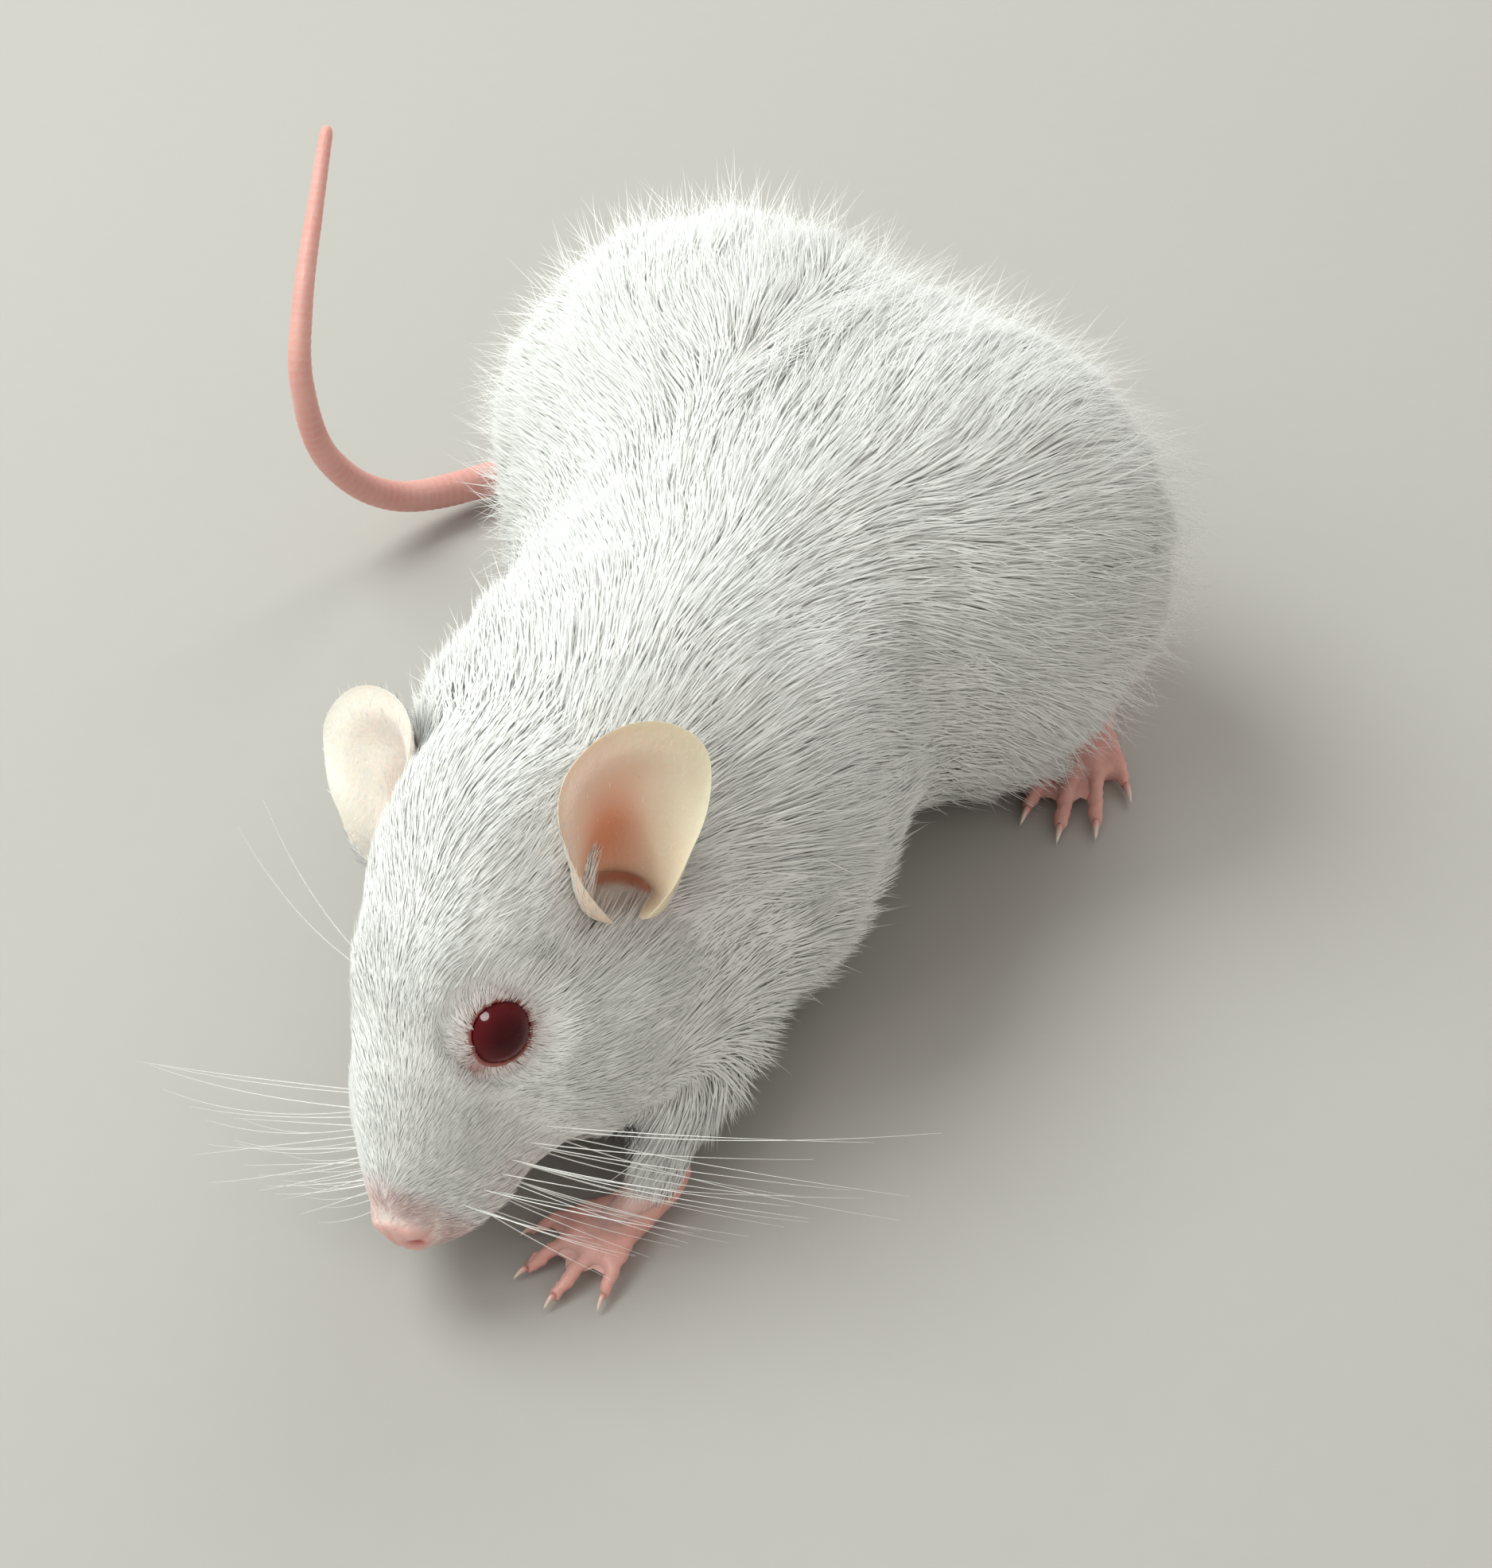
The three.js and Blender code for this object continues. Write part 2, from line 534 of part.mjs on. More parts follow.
part('nose', (grow) => headRegion([34.6, 40], [-7, 7], [-16, 2], grow), NOSE_SKIN);
for (const [side, sign] of SIDES) {
  const { fore } = LEGS[side];
  const [x, y] = fore.heel;
  part(`ear_${side}`, (grow) => earShell(side, sign, grow), EAR_SKIN);
  part(`forepaw_${side}`, alongFoot(fore, [-4, 22], 6.6, [-1, WRIST]), BARE_SKIN);
  part(`forearm_${side}`, between([x - 6.5, y - 4, WRIST + GAP], [x + 6.5, y + 17, ELBOW]));
}
part('lower_jaw', (grow) => headRegion([12, 33.6], [-9, 9], [-26, -14.5], grow));
part('head', (grow) => headRegion([-9.5, 40], [-22, 22], [-26, 20], grow));
for (const [side, sign] of SIDES) {
  const { hind } = LEGS[side];
  part(`shoulder_${side}`, onSide(sign, [SHOULDER.inner, SHOULDER.front, 0], [WIDE, SHOULDER.back, WIDE]));
  part(`hind_foot_${side}`, alongFoot(hind, [-5, 38], 9, [-1, ANKLE]), BARE_SKIN);
  part(`shank_${side}`, alongFoot(hind, [-5, 34], 7, [ANKLE + GAP, KNEE]));
  part(`thigh_${side}`, onSide(sign, [THIGH.inner, THIGH.front, 0], [WIDE, WIDE, WIDE]));
}
part('neck', between([-WIDE, -WIDE, NECK.under], [WIDE, NECK.back, WIDE]));
part('chest', between([-WIDE, -WIDE, 0], [WIDE, CHEST_BACK, WIDE]));
part('belly', between([-WIDE, CHEST_BACK + GAP, 0], [WIDE, BELLY_BACK, WIDE]));
addNode('rump', toGeometry(whole), COAT);

for (let k = 1; k < TAIL_CUTS.length; k += 1) {
  addNode(`tail_${k}`, tailLength(TAIL_CUTS[k - 1] + GAP / TAIL_LENGTH, TAIL_CUTS[k]), BARE_SKIN);
}

export default group;
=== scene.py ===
import math

import bmesh
import bpy
import numpy as np
from bpy.props import FloatProperty, FloatVectorProperty, PointerProperty
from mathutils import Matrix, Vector, kdtree


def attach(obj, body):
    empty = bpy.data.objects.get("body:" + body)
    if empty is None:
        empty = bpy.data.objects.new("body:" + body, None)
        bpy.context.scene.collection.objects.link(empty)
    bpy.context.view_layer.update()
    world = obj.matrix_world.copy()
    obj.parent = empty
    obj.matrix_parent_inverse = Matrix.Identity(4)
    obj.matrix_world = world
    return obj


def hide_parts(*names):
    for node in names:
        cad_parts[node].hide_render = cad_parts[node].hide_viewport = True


bl_info = {
    "name": "White Pet Rat",
    "version": (1, 0, 0),
    "blender": (4, 5, 0),
    "location": "View3D > Sidebar > White Rat",
    "description": "A life-size white rat crouched on a floor: skin, coat, eyes, whiskers and claws",
    "category": "Object",
}

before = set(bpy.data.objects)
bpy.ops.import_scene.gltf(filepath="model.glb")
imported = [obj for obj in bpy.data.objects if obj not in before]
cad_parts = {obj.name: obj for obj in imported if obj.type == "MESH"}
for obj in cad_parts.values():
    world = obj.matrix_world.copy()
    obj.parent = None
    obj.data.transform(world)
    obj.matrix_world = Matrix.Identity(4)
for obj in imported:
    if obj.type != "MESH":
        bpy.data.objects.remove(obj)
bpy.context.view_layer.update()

MM = 0.001
SEED = 11

# ---------------------------------------------------------------- the body's own measures
# Millimetres. The rat faces -Y, +X is its left, and the floor is z = 0.
HEAD_ORIGIN = np.array([-4.8, -38.9, 28.3])  # midway between the ear notches
HEAD_SCALE = 0.937
HEAD_PITCH = math.radians(25.2)
HEAD_ROLL = math.radians(16.2)
_level_up = np.array([0, -math.sin(HEAD_PITCH), math.cos(HEAD_PITCH)])
HEAD_FORWARD = np.array([0, -math.cos(HEAD_PITCH), -math.sin(HEAD_PITCH)])
HEAD_LEFT = np.array([math.cos(HEAD_ROLL), 0, 0]) + _level_up * math.sin(HEAD_ROLL)
HEAD_UP = _level_up * math.cos(HEAD_ROLL) - np.array([math.sin(HEAD_ROLL), 0, 0])
HEAD_AXES = np.stack([HEAD_FORWARD, HEAD_LEFT, HEAD_UP])

EYE_RADIUS = 3.05
EYE_BULGE = 0.035  # how far the clear front of the eye stands out, as a share of the radius
EYE_PLACE = {1: (16.3, 7.1, 0.8), -1: (16.4, 6.1, 0.4)}  # forward, outward and up in the head
EYE_AXIS = (0.28, 0.88, 0.38)
LID_ANGLE = math.radians(63)  # from the eye's axis to the rim of the lids

EAR_LENGTH = 20.5
EAR_WIDTH = 16
EAR_ROOT_CURVE = 3.0
EAR_TIP_CURVE = 14
EAR_ROOT = {1: (1.8, 10.3, -5.0), -1: (2.2, 8.3, -4.8)}
EAR_UP = {1: (-0.54, 0.28, 0.79), -1: (-0.6, 0.43, 0.68)}
EAR_FACING = {1: (0.7, 0.67, 0.25), -1: (0.78, 0.08, 0.63)}
EAR_RINGS, EAR_SPOKES = 26, 72

# Feet: heel on the floor, heading in degrees, length, half width of the bare part.
HIND_FEET = [((27, 46), 9, 34, 7.0), ((-26, 47), -7, 34, 7.0)]
FORE_FEET = [((13.5, -49), -24, 14, 6.5), ((-10.8, -36.5), 2, 14, 6.5)]
HIND_TOES = [(19.5, -3.6, 5.5, -26), (22.5, -2.3, 9, -10), (23.2, 0, 10, 0), (22.5, 2.2, 9.2, 9),
             (19.5, 3.6, 6, 24)]  # forward and outward root, reach, splay in degrees
FORE_TOES = [(6.2, -2.9, 4.6, -26), (7.4, -1.1, 6.2, -8), (7.4, 1.1, 6.2, 8), (6.2, 2.9, 4.6, 26)]

TAIL_PATH = np.array([
    [2, 42, 17], [1, 53, 11.5], [-7, 62.5, 6.4], [-20, 67, 4], [-36, 62, 3.3], [-50, 48, 3],
    [-59.5, 33, 5.6], [-64, 25, 14.5], [-65, 23, 26], [-66.8, 28, 34], [-69.4, 36.5, 40.8], [-72, 45, 47],
])
TAIL_PITCH = 1.05  # from one ring of scales to the next
TAIL_ROOT_RADIUS, TAIL_TIP_RADIUS = 4.3, 0.75
# Where the skin of the back folds between the haunches.
BACK_FOLD = np.array([[-12.7, -3.4, 43], [-3.2, 24.8, 50], [4.3, 47.7, 39]])
SIDE_FOLD = np.array([[-7.5, 20, 50], [-11.5, 9.5, 48]])

WHISKER_SWEEP = {1: (0.05, -0.1), -1: (0.5, 0.34)}  # how far forward and up each side's whiskers point
WHISKER_POINTS = 14
WHISKER_SIDES = 5

LOWEST = 0.05  # the body's skin and all hair stay this far over the floor. Feet and tail touch it
TUFT_WIDEST = 0.38  # where along a tuft its widest place is
PATCH = 0.003  # size of a tuft's patch on the map
PATCH_SPREAD = 0.996  # how much of the map the corners of the patches cover
PIECE_TUFTS = 32500  # most tufts in one piece

# The camera, in metres, and its picture's height and focal length in rows.
CAMERA_PLACE = (0.0722, -0.1627, 0.1685)
CAMERA_AZIMUTH, CAMERA_DIP = math.radians(23.6), math.radians(42.3)
PICTURE_ROWS, FOCAL_ROWS = 1972, 2850
SENSOR = 36
FLOOR_HALF = 2.0

FLESH = [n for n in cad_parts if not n.startswith("eye_")]
BODY = [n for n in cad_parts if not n.startswith(("ear_", "tail_"))]  # eyes too: they fill the sockets
FEET = [n for n in FLESH if n.startswith(("forepaw_", "hind_foot_"))]
SIDES = {1: "left", -1: "right"}


# ---------------------------------------------------------------- small numeric helpers
def unit(v):
    """Vectors of length one."""
    return v / np.maximum(np.linalg.norm(v, axis=-1, keepdims=True), 1e-9)


def ramp(low, high, x):
    """A smooth step from 0 at low to 1 at high."""
    t = np.clip((x - low) / (high - low), 0, 1)
    return t * t * (3 - 2 * t)


def hump(x, width):
    """A soft bump, 1 at zero and fading over the width."""
    return np.exp(-((x / width) ** 2))


def bell(*measures):
    """A soft bump, 1 where every measure is zero."""
    return np.exp(-sum(m**2 for m in measures))


def dot(a, b):
    return np.sum(a * b, axis=-1)


def waves(points, size, seed, count=7):
    """Smooth noise from -1 to 1: seeded waves about size mm long."""
    rng = np.random.default_rng(seed)
    total = np.zeros(len(points))
    for _ in range(count):
        k = unit(rng.normal(size=3)) * 2 * math.pi / (size * rng.uniform(0.7, 1.6))
        total += np.sin(points @ k + rng.uniform(0, 2 * math.pi))
    return total / math.sqrt(count)


def head_point(f, l, u):
    """The point that is this far forward, left and up in the head."""
    return HEAD_ORIGIN + HEAD_SCALE * np.array([f, l, u]) @ HEAD_AXES


def head_coordinates(points):
    """Forward, left and up in the head for points in millimetres."""
    return (points - HEAD_ORIGIN) @ HEAD_AXES.T / HEAD_SCALE


def head_direction(f, l, u):
    return unit(np.array([f, l, u], float) @ HEAD_AXES)


def smooth_path(points, count):
    """Evenly spaced points on a smooth curve through the given ones."""
    p = np.vstack([2 * points[0] - points[1], points, 2 * points[-1] - points[-2]])
    fine = []
    for i in range(1, len(p) - 2):
        t = np.linspace(0, 1, 24, endpoint=False)[:, None]
        a, b, c, d = p[i - 1], p[i], p[i + 1], p[i + 2]
        fine.append(0.5 * (2 * b + (c - a) * t + (2 * a - 5 * b + 4 * c - d) * t**2
                           + (3 * b - a - 3 * c + d) * t**3))
    fine = np.vstack([*fine, p[-2:-1]])
    run = np.concatenate([[0], np.cumsum(np.linalg.norm(np.diff(fine, axis=0), axis=1))])
    at = np.linspace(0, run[-1], count)
    return np.stack([np.interp(at, run, fine[:, i]) for i in range(3)], axis=1)


TAIL = smooth_path(TAIL_PATH, 301)
TAIL_RUN = np.concatenate([[0], np.cumsum(np.linalg.norm(np.diff(TAIL, axis=0), axis=1))])


def nearest(points, others):
    """For each point, the index of the nearest of the others."""
    tree = kdtree.KDTree(len(others))
    for i, p in enumerate(others):
        tree.insert(p, i)
    tree.balance()
    return np.array([tree.find(p)[1] for p in points])


def near_tail(points):
    """For each point: mm along the tail of its nearest place, the distance to it and the direction there."""
    index = nearest(points, TAIL)
    along = np.gradient(TAIL, axis=0)
    return TAIL_RUN[index], np.linalg.norm(points - TAIL[index], axis=1), unit(along[index])


def near_line(points, line):
    """Distance to a bent line and the vector from it."""
    best = np.full(len(points), 1e9)
    away = np.zeros_like(points)
    for a, b in zip(line[:-1], line[1:]):
        t = np.clip(((points - a) @ (b - a)) / ((b - a) @ (b - a)), 0, 1)
        offset = points - (a + t[:, None] * (b - a))
        d = np.linalg.norm(offset, axis=1)
        closer = d < best
        best[closer] = d[closer]
        away[closer] = offset[closer]
    return best, unit(away)


def foot_axes(heading):
    """Ahead and across on the floor, for a foot's heading."""
    turn = math.radians(heading)
    return np.array([math.sin(turn), -math.cos(turn)]), np.array([math.cos(turn), math.sin(turn)])


def foot_mask(points, feet, top):
    """1 on the bare part of the feet, fading upward."""
    mask = np.zeros(len(points))
    for (x, y), heading, length, half in feet:
        offset = points[:, :2] - (x, y)
        along, across = (offset @ way for way in foot_axes(heading))
        inside = ramp(-1, 2, along) * ramp(length + 4, length + 3, along)
        inside *= ramp(half + 1, half - 1, np.abs(across) - 0.12 * np.maximum(along, 0))
        mask = np.maximum(mask, inside * ramp(top + 2.5, top - 0.5, points[:, 2]))
    return mask


# ---------------------------------------------------------------- meshes and pieces
def new_mesh(name, vertices, faces_by_size, smooth=True):
    """A mesh from vertices in millimetres and face index arrays, one for each face size."""
    mesh = bpy.data.meshes.new(name)
    mesh.vertices.add(len(vertices))
    mesh.vertices.foreach_set("co", (np.asarray(vertices, np.float32) * MM).ravel())
    loops = np.concatenate([f.ravel() for f in faces_by_size])
    sizes = np.concatenate([np.full(len(f), f.shape[1]) for f in faces_by_size])
    mesh.loops.add(len(loops))
    mesh.loops.foreach_set("vertex_index", loops.astype(np.int32))
    mesh.polygons.add(len(sizes))
    mesh.polygons.foreach_set("loop_start", np.concatenate([[0], np.cumsum(sizes)[:-1]]).astype(np.int32))
    mesh.update(calc_edges=True)
    if smooth:
        mesh.shade_smooth()
    return mesh


def new_object(name, data):
    old = bpy.data.objects.get(name)
    if old:
        bpy.data.objects.remove(old)
    piece = bpy.data.objects.new(name, data)
    bpy.context.scene.collection.objects.link(piece)
    return piece


def set_values(mesh, name, values, kind="FLOAT"):
    """Stores one value, or one colour, for each vertex."""
    layer = mesh.attributes.new(name, kind, "POINT")
    layer.data.foreach_set("value" if kind == "FLOAT" else "vector", np.asarray(values, np.float32).ravel())


def read(items, key, kind=np.float32, width=1):
    """One property of many items: an array, with a row for each where the property is wider than one."""
    values = np.empty(len(items) * width, kind)
    items.foreach_get(key, values)
    return values if width == 1 else values.reshape(-1, width)


def positions(mesh):
    return read(mesh.vertices, "co", width=3).astype(float) / MM


def move_to(mesh, points):
    mesh.vertices.foreach_set("co", (points * MM).astype(np.float32).ravel())
    mesh.update()


def vertex_normals(mesh):
    return read(mesh.vertex_normals, "vector", width=3).astype(float)


def polygons_of(mesh, size):
    """The faces of a mesh that have this many corners."""
    total, start = (read(mesh.polygons, key, np.int32) for key in ("loop_total", "loop_start"))
    corner = read(mesh.loops, "vertex_index", np.int32)
    return corner[start[total == size][:, None] + np.arange(size)]


def plain_mesh(piece):
    """Applies the modifiers of a piece to its mesh."""
    graph = bpy.context.evaluated_depsgraph_get()
    done = bpy.data.meshes.new_from_object(piece.evaluated_get(graph))
    piece.modifiers.clear()
    old, piece.data = piece.data, done
    bpy.data.meshes.remove(old)
    return done


def relaxed(mesh, points, weight, rounds, strength=0.5):
    """Moves each point towards the middle of its neighbours, as far as its weight allows."""
    a, b = read(mesh.edges, "vertices", np.int32, 2).T
    size = len(points)
    count = np.bincount(a, minlength=size) + np.bincount(b, minlength=size)
    step = (strength * weight)[:, None]
    for _ in range(rounds):
        total = np.stack([np.bincount(a, points[b, i], size) + np.bincount(b, points[a, i], size)
                          for i in range(3)], axis=1)
        points = points + step * (total / np.maximum(count, 1)[:, None] - points)
    return points


def main_island(mesh):
    """Removes loose inner shells, keeping the largest."""
    a, b = read(mesh.edges, "vertices", np.int32, 2).T
    label = np.arange(len(mesh.vertices))
    while True:
        low = np.minimum(label[a], label[b])
        fresh = label.copy()
        np.minimum.at(fresh, a, low)
        np.minimum.at(fresh, b, low)
        fresh = fresh[fresh]
        if np.array_equal(fresh, label):
            break
        label = fresh
    names, counts = np.unique(label, return_counts=True)
    if len(names) == 1:
        return
    stray = np.flatnonzero(label != names[np.argmax(counts)])
    bm = bmesh.new()
    bm.from_mesh(mesh)
    bm.verts.ensure_lookup_table()
    bmesh.ops.delete(bm, geom=[bm.verts[i] for i in stray], context="VERTS")
    bm.to_mesh(mesh)
    bm.free()


def strand_arrays(paths, side, up, widths, heights, sides):
    """Vertices and faces of many tapering strands. paths is (strands, points, 3), and each strand's last
    point is its tip. side and up are the axes of its cross-section, widths and heights the half sizes."""
    count, rings = paths.shape[0], paths.shape[1] - 1
    angle = np.arange(sides) * 2 * math.pi / sides + math.pi / 2
    across = side[:, None, None, :] * np.cos(angle)[None, None, :, None] * widths[:, :, None, None]
    upward = up[:, None, None, :] * np.sin(angle)[None, None, :, None] * heights[:, :, None, None]
    body = (paths[:, :rings, None, :] + across + upward).reshape(count, rings * sides, 3)
    vertices = np.concatenate([body, paths[:, -1:, :]], axis=1)
    each = rings * sides + 1
    s = np.arange(sides)
    t = (s + 1) % sides
    first = np.stack([s, t, t + sides, s + sides], 1)
    quads = np.concatenate([first + k * sides for k in range(rings - 1)])
    k = (rings - 1) * sides
    tips = np.stack([s + k, t + k, np.full(sides, each - 1)], 1)
    start = (np.arange(count) * each)[:, None, None]
    faces = [(quads[None] + start).reshape(-1, 4), (tips[None] + start).reshape(-1, 3),
             (s[::-1][None, None] + start).reshape(-1, sides)]
    return vertices.reshape(-1, 3), faces


def tube_faces(rings, sides):
    """Faces of a tube of rings of points that ends in two single points: its quads and its end triangles."""
    i, j = np.meshgrid(np.arange(rings - 1), np.arange(sides), indexing="ij")
    j2 = (j + 1) % sides
    quads = np.stack([i * sides + j, i * sides + j2, (i + 1) * sides + j2, (i + 1) * sides + j], -1)
    s, n = np.arange(sides), rings * sides
    t = (s + 1) % sides
    caps = np.vstack([np.stack([t, s, np.full(sides, n)], 1),
                      np.stack([s + n - sides, t + n - sides, np.full(sides, n + 1)], 1)])
    return quads.reshape(-1, 4), caps


def turned_out(vertices, *faces):
    """Turns all faces of a shell over where its quads, which come first, enclose a negative volume."""
    a, b, c, d = (vertices[faces[0][:, k]] for k in range(4))
    if dot(a, np.cross(b, c)).sum() + dot(a, np.cross(c, d)).sum() < 0:
        return [f[:, ::-1] for f in faces]
    return list(faces)


# ---------------------------------------------------------------- materials
class Value:
    """A shader socket that takes part in sums."""

    def __init__(self, shader, socket):
        self.shader = shader
        self.socket = socket

    def math(self, operation, *others):
        values = dict(enumerate((self, *others)))
        return self.shader.add("ShaderNodeMath", {"operation": operation}, values)

    def __add__(self, other):
        return self.math("ADD", other)

    def __mul__(self, other):
        return self.math("MULTIPLY", other)

    __radd__ = __add__
    __rmul__ = __mul__


class Shader:
    """Builds one material round a Principled shader."""

    def __init__(self, name, **constants):
        self.material = bpy.data.materials.get(name) or bpy.data.materials.new(name)
        self.material.use_nodes = True
        self.tree = self.material.node_tree
        self.tree.nodes.clear()
        self.surface = self.tree.nodes.new("ShaderNodeBsdfPrincipled")
        out = self.tree.nodes.new("ShaderNodeOutputMaterial")
        self.tree.links.new(self.surface.outputs[0], out.inputs[0])
        for socket, value in constants.items():
            self.surface.inputs[socket.replace("_", " ")].default_value = value

    def put(self, socket, value):
        if isinstance(value, Value):
            self.tree.links.new(value.socket, socket)
        else:
            socket.default_value = value

    def add(self, kind, settings=None, values=None, output=0):
        """Adds a node: its settings first, then what its sockets hold or take."""
        node = self.tree.nodes.new(kind)
        for key, value in (settings or {}).items():
            setattr(node, key, value)
        for key, value in (values or {}).items():
            self.put(node.inputs[key], value)
        return Value(self, node.outputs[output])

    def attribute(self, name):
        return self.add("ShaderNodeAttribute", {"attribute_name": name}, output="Fac")

    def place(self, scale=(1, 1, 1)):
        """The piece's own coordinates, stretched."""
        own = self.add("ShaderNodeTexCoord", output="Object")
        return self.add("ShaderNodeMapping", {"vector_type": "POINT"}, {"Vector": own, "Scale": scale})

    def noise(self, place, scale, detail=2.0, roughness=0.5):
        return self.add("ShaderNodeTexNoise", {}, {
            "Vector": place, "Scale": scale, "Detail": detail, "Roughness": roughness})

    def smooth(self, value, low, high):
        return self.add("ShaderNodeMapRange", {"interpolation_type": "SMOOTHSTEP"}, {
            "Value": value, "From Min": low, "From Max": high})

    def blend(self, share, first, second):
        """A colour between two, by a share from 0 to 1."""
        node = self.tree.nodes.new("ShaderNodeMix")
        node.data_type = "RGBA"
        sockets = {s.identifier: s for s in node.inputs}
        self.put(sockets["Factor_Float"], share)
        for key, value in (("A_Color", first), ("B_Color", second)):
            self.put(sockets[key], value if isinstance(value, Value) else (*value, 1))
        return Value(self, {s.identifier: s for s in node.outputs}["Result_Color"])

    def bump(self, height, distance, strength):
        return self.add("ShaderNodeBump", {}, {"Height": height, "Distance": distance, "Strength": strength})

    def feed(self, **values):
        for socket, value in values.items():
            self.put(self.surface.inputs[socket.replace("_", " ")], value)
        return self.material


def skin_material(look):
    """Bare and furred skin: white under the coat, pink where it is bare, ringed on the tail."""
    s = Shader("skin", Subsurface_Weight=0.3, Subsurface_Radius=(1.0, 0.4, 0.25), Subsurface_Scale=0.0012,
               Specular_IOR_Level=0.35)
    bare, nose, inner = s.attribute("bare"), s.attribute("nose"), s.attribute("inner_ear")
    ear, rim, lid = s.attribute("ear"), s.attribute("ear_rim"), s.attribute("lid")
    flush_and_furrow_shade, tail = s.attribute("flush_and_furrow_shade"), s.attribute("tail_mm")
    place = s.place()
    patch = s.noise(place, 220.0, 3.0, 0.6)
    # Pink where thin hair shows the skin. In the whisker pads' furrows this is also painted shade.
    base = s.blend(flush_and_furrow_shade, look.under_coat, look.flush_skin)
    base = s.blend(bare, base, s.blend(patch, look.bare_skin, look.bare_light))
    leaf = s.blend(rim, look.ear_front, look.ear_rim)
    base = s.blend(ear, base, s.blend(inner, leaf, look.ear_inside))
    base = s.blend(s.attribute("pale"), base, look.under_coat)
    base = s.blend(s.attribute("cup"), base, look.ear_notch)
    base = s.blend(nose, base, s.blend(patch, look.nose_skin, look.flush_skin))
    base = s.blend(s.attribute("nostril"), base, look.nostril)
    # The lids' rims and the ring beside them: pink skin darkened with painted shade.
    base = s.blend(lid, base, look.lid_skin)
    ring = s.add("ShaderNodeMath", {"operation": "SINE"}, {0: tail * (2 * math.pi / TAIL_PITCH)})
    on_tail = s.smooth(tail, 2.0, 14.0)
    base = s.blend(on_tail * s.smooth(ring, 0.2, 1.0) * 0.4, base, look.tail_ring)
    grain = s.noise(place, 1900.0, 2.0, 0.6) * 0.5 + s.noise(s.place((1.0, 0.22, 0.6)), 2600.0, 2.0) * 0.5
    return s.feed(Base_Color=base, Roughness=s.noise(place, 800.0) * 0.2 + 0.42,
                  Normal=s.bump(grain, 0.0002, 0.6))


def coat_material(look, name):
    """Soft white hair, a little warmer and darker at the root."""
    s = Shader(name, Sheen_Weight=0.35, Sheen_Roughness=0.4, Specular_IOR_Level=0.2)
    along, tone = s.attribute("along"), s.attribute("tone")
    root = s.blend(tone, look.coat_root, look.coat_shade)
    base = s.blend(s.smooth(along, 0.0, 0.6), root, look.coat_tip)
    # Pink over thin hair. In the whisker pads' furrows it is also painted shade.
    base = s.blend(s.attribute("blush_and_furrow_shade"), base, look.flush_hair_and_furrow_shade)
    return s.feed(Base_Color=base, Roughness=tone * 0.15 + 0.5)


def eye_material(look):
    """Wet ruby: dark in the middle, redder towards the rim."""
    s = Shader("ruby_eye", Coat_Weight=0.3, Coat_Roughness=0.02, Roughness=0.15, Specular_IOR_Level=0.06)
    edge = s.attribute("edge")
    deep = s.noise(s.place(), 900.0, 2.0)
    base = s.blend(s.smooth(edge, 0.25, 0.85), look.eye_centre, look.eye_edge)
    base = s.blend(deep * 0.25, base, look.eye_edge)
    return s.feed(Base_Color=base)


def horn_material(look):
    """Pink at the root of a claw, pale at its tip."""
    s = Shader("claw_horn", Roughness=0.3, Specular_IOR_Level=0.5, Subsurface_Weight=0.2,
               Subsurface_Radius=(1.0, 0.6, 0.5), Subsurface_Scale=0.0005)
    along = s.attribute("along")
    return s.feed(Base_Color=s.blend(along, look.bare_skin, look.claw))


def floor_material(look):
    """A plain matt floor, very slightly mottled."""
    s = Shader("floor_matt", Roughness=0.75, Specular_IOR_Level=0.2)
    place = s.place()
    mottle = s.noise(place, 6.0, 4.0, 0.6) * 0.6 + s.noise(place, 300.0, 2.0) * 0.4
    low, high = (tuple(c * k for c in look.floor) for k in (0.97, 1.03))
    return s.feed(Base_Color=s.blend(mottle, low, high), Normal=s.bump(mottle, 0.0002, 0.2))


# ---------------------------------------------------------------- skin
def coat_depth(points, regions, depth):
    """How deep the coat stands over the skin, in millimetres."""
    f, l, u = head_coordinates(points).T
    on_head = regions["head"]
    face = np.interp(f, [-12, -4, 6, 16, 24, 30, 34, 36],
                     [depth, 0.85 * depth, 1.5, 1.0, 0.8, 0.7, 0.45, 0.15])
    face = face + 0.7 * ramp(6, 10, np.abs(l)) * ramp(20, 10, f) * ramp(4, -3, u)
    result = depth * (1 - on_head) + face * on_head
    result *= 1 - 0.55 * ramp(6, 0, points[:, 2]) * (1 - on_head)  # flattened where it lies on the floor
    result = np.minimum(result, 0.6 + 1.9 * ramp(3.5, 11, regions["limb_height"]))
    return result * (1 - regions["bare"]) * (1 - 0.6 * regions["socket"])


def find_regions(points):
    """Which part of the animal each point belongs to."""
    f, l, u = head_coordinates(points).T
    head = ramp(-13, -3, f) * ramp(-24, -19, u)
    run, away, _ = near_tail(points)
    tail_size = np.interp(run, [0, 10, 20, 150], [9, 6, 4.6, 2])
    tail = ramp(7, 14, run) * ramp(tail_size + 1.5, tail_size, away)
    feet = np.maximum(foot_mask(points, HIND_FEET, 4.2), foot_mask(points, FORE_FEET, 3.4))
    head = head * (1 - feet)
    pad = np.hypot((l - 0.9) / 3.0, (u + 7.0) / 2.7)
    nose = ramp(30.7, 32.2, f) * ramp(1.15, 0.85, pad) * head
    socket = ramp(EYE_RADIUS + 1.6, EYE_RADIUS + 0.4, eye_distance(points))
    limb = np.full(len(points), 99.0)
    for (x, y), _, _, _ in FORE_FEET:
        near = (np.abs(points[:, 0] - x) < 9) & (points[:, 1] < y + 14) & (points[:, 1] > y - 20)
        low = (points[:, 2] < 14) & near & (u < -16)
        limb[low] = np.minimum(limb[low], points[low, 2])
    return {"head": head, "tail": tail, "feet": feet, "nose": nose, "socket": socket, "limb_height": limb,
            "bare": np.clip(np.maximum.reduce([tail, feet, nose]), 0, 1)}


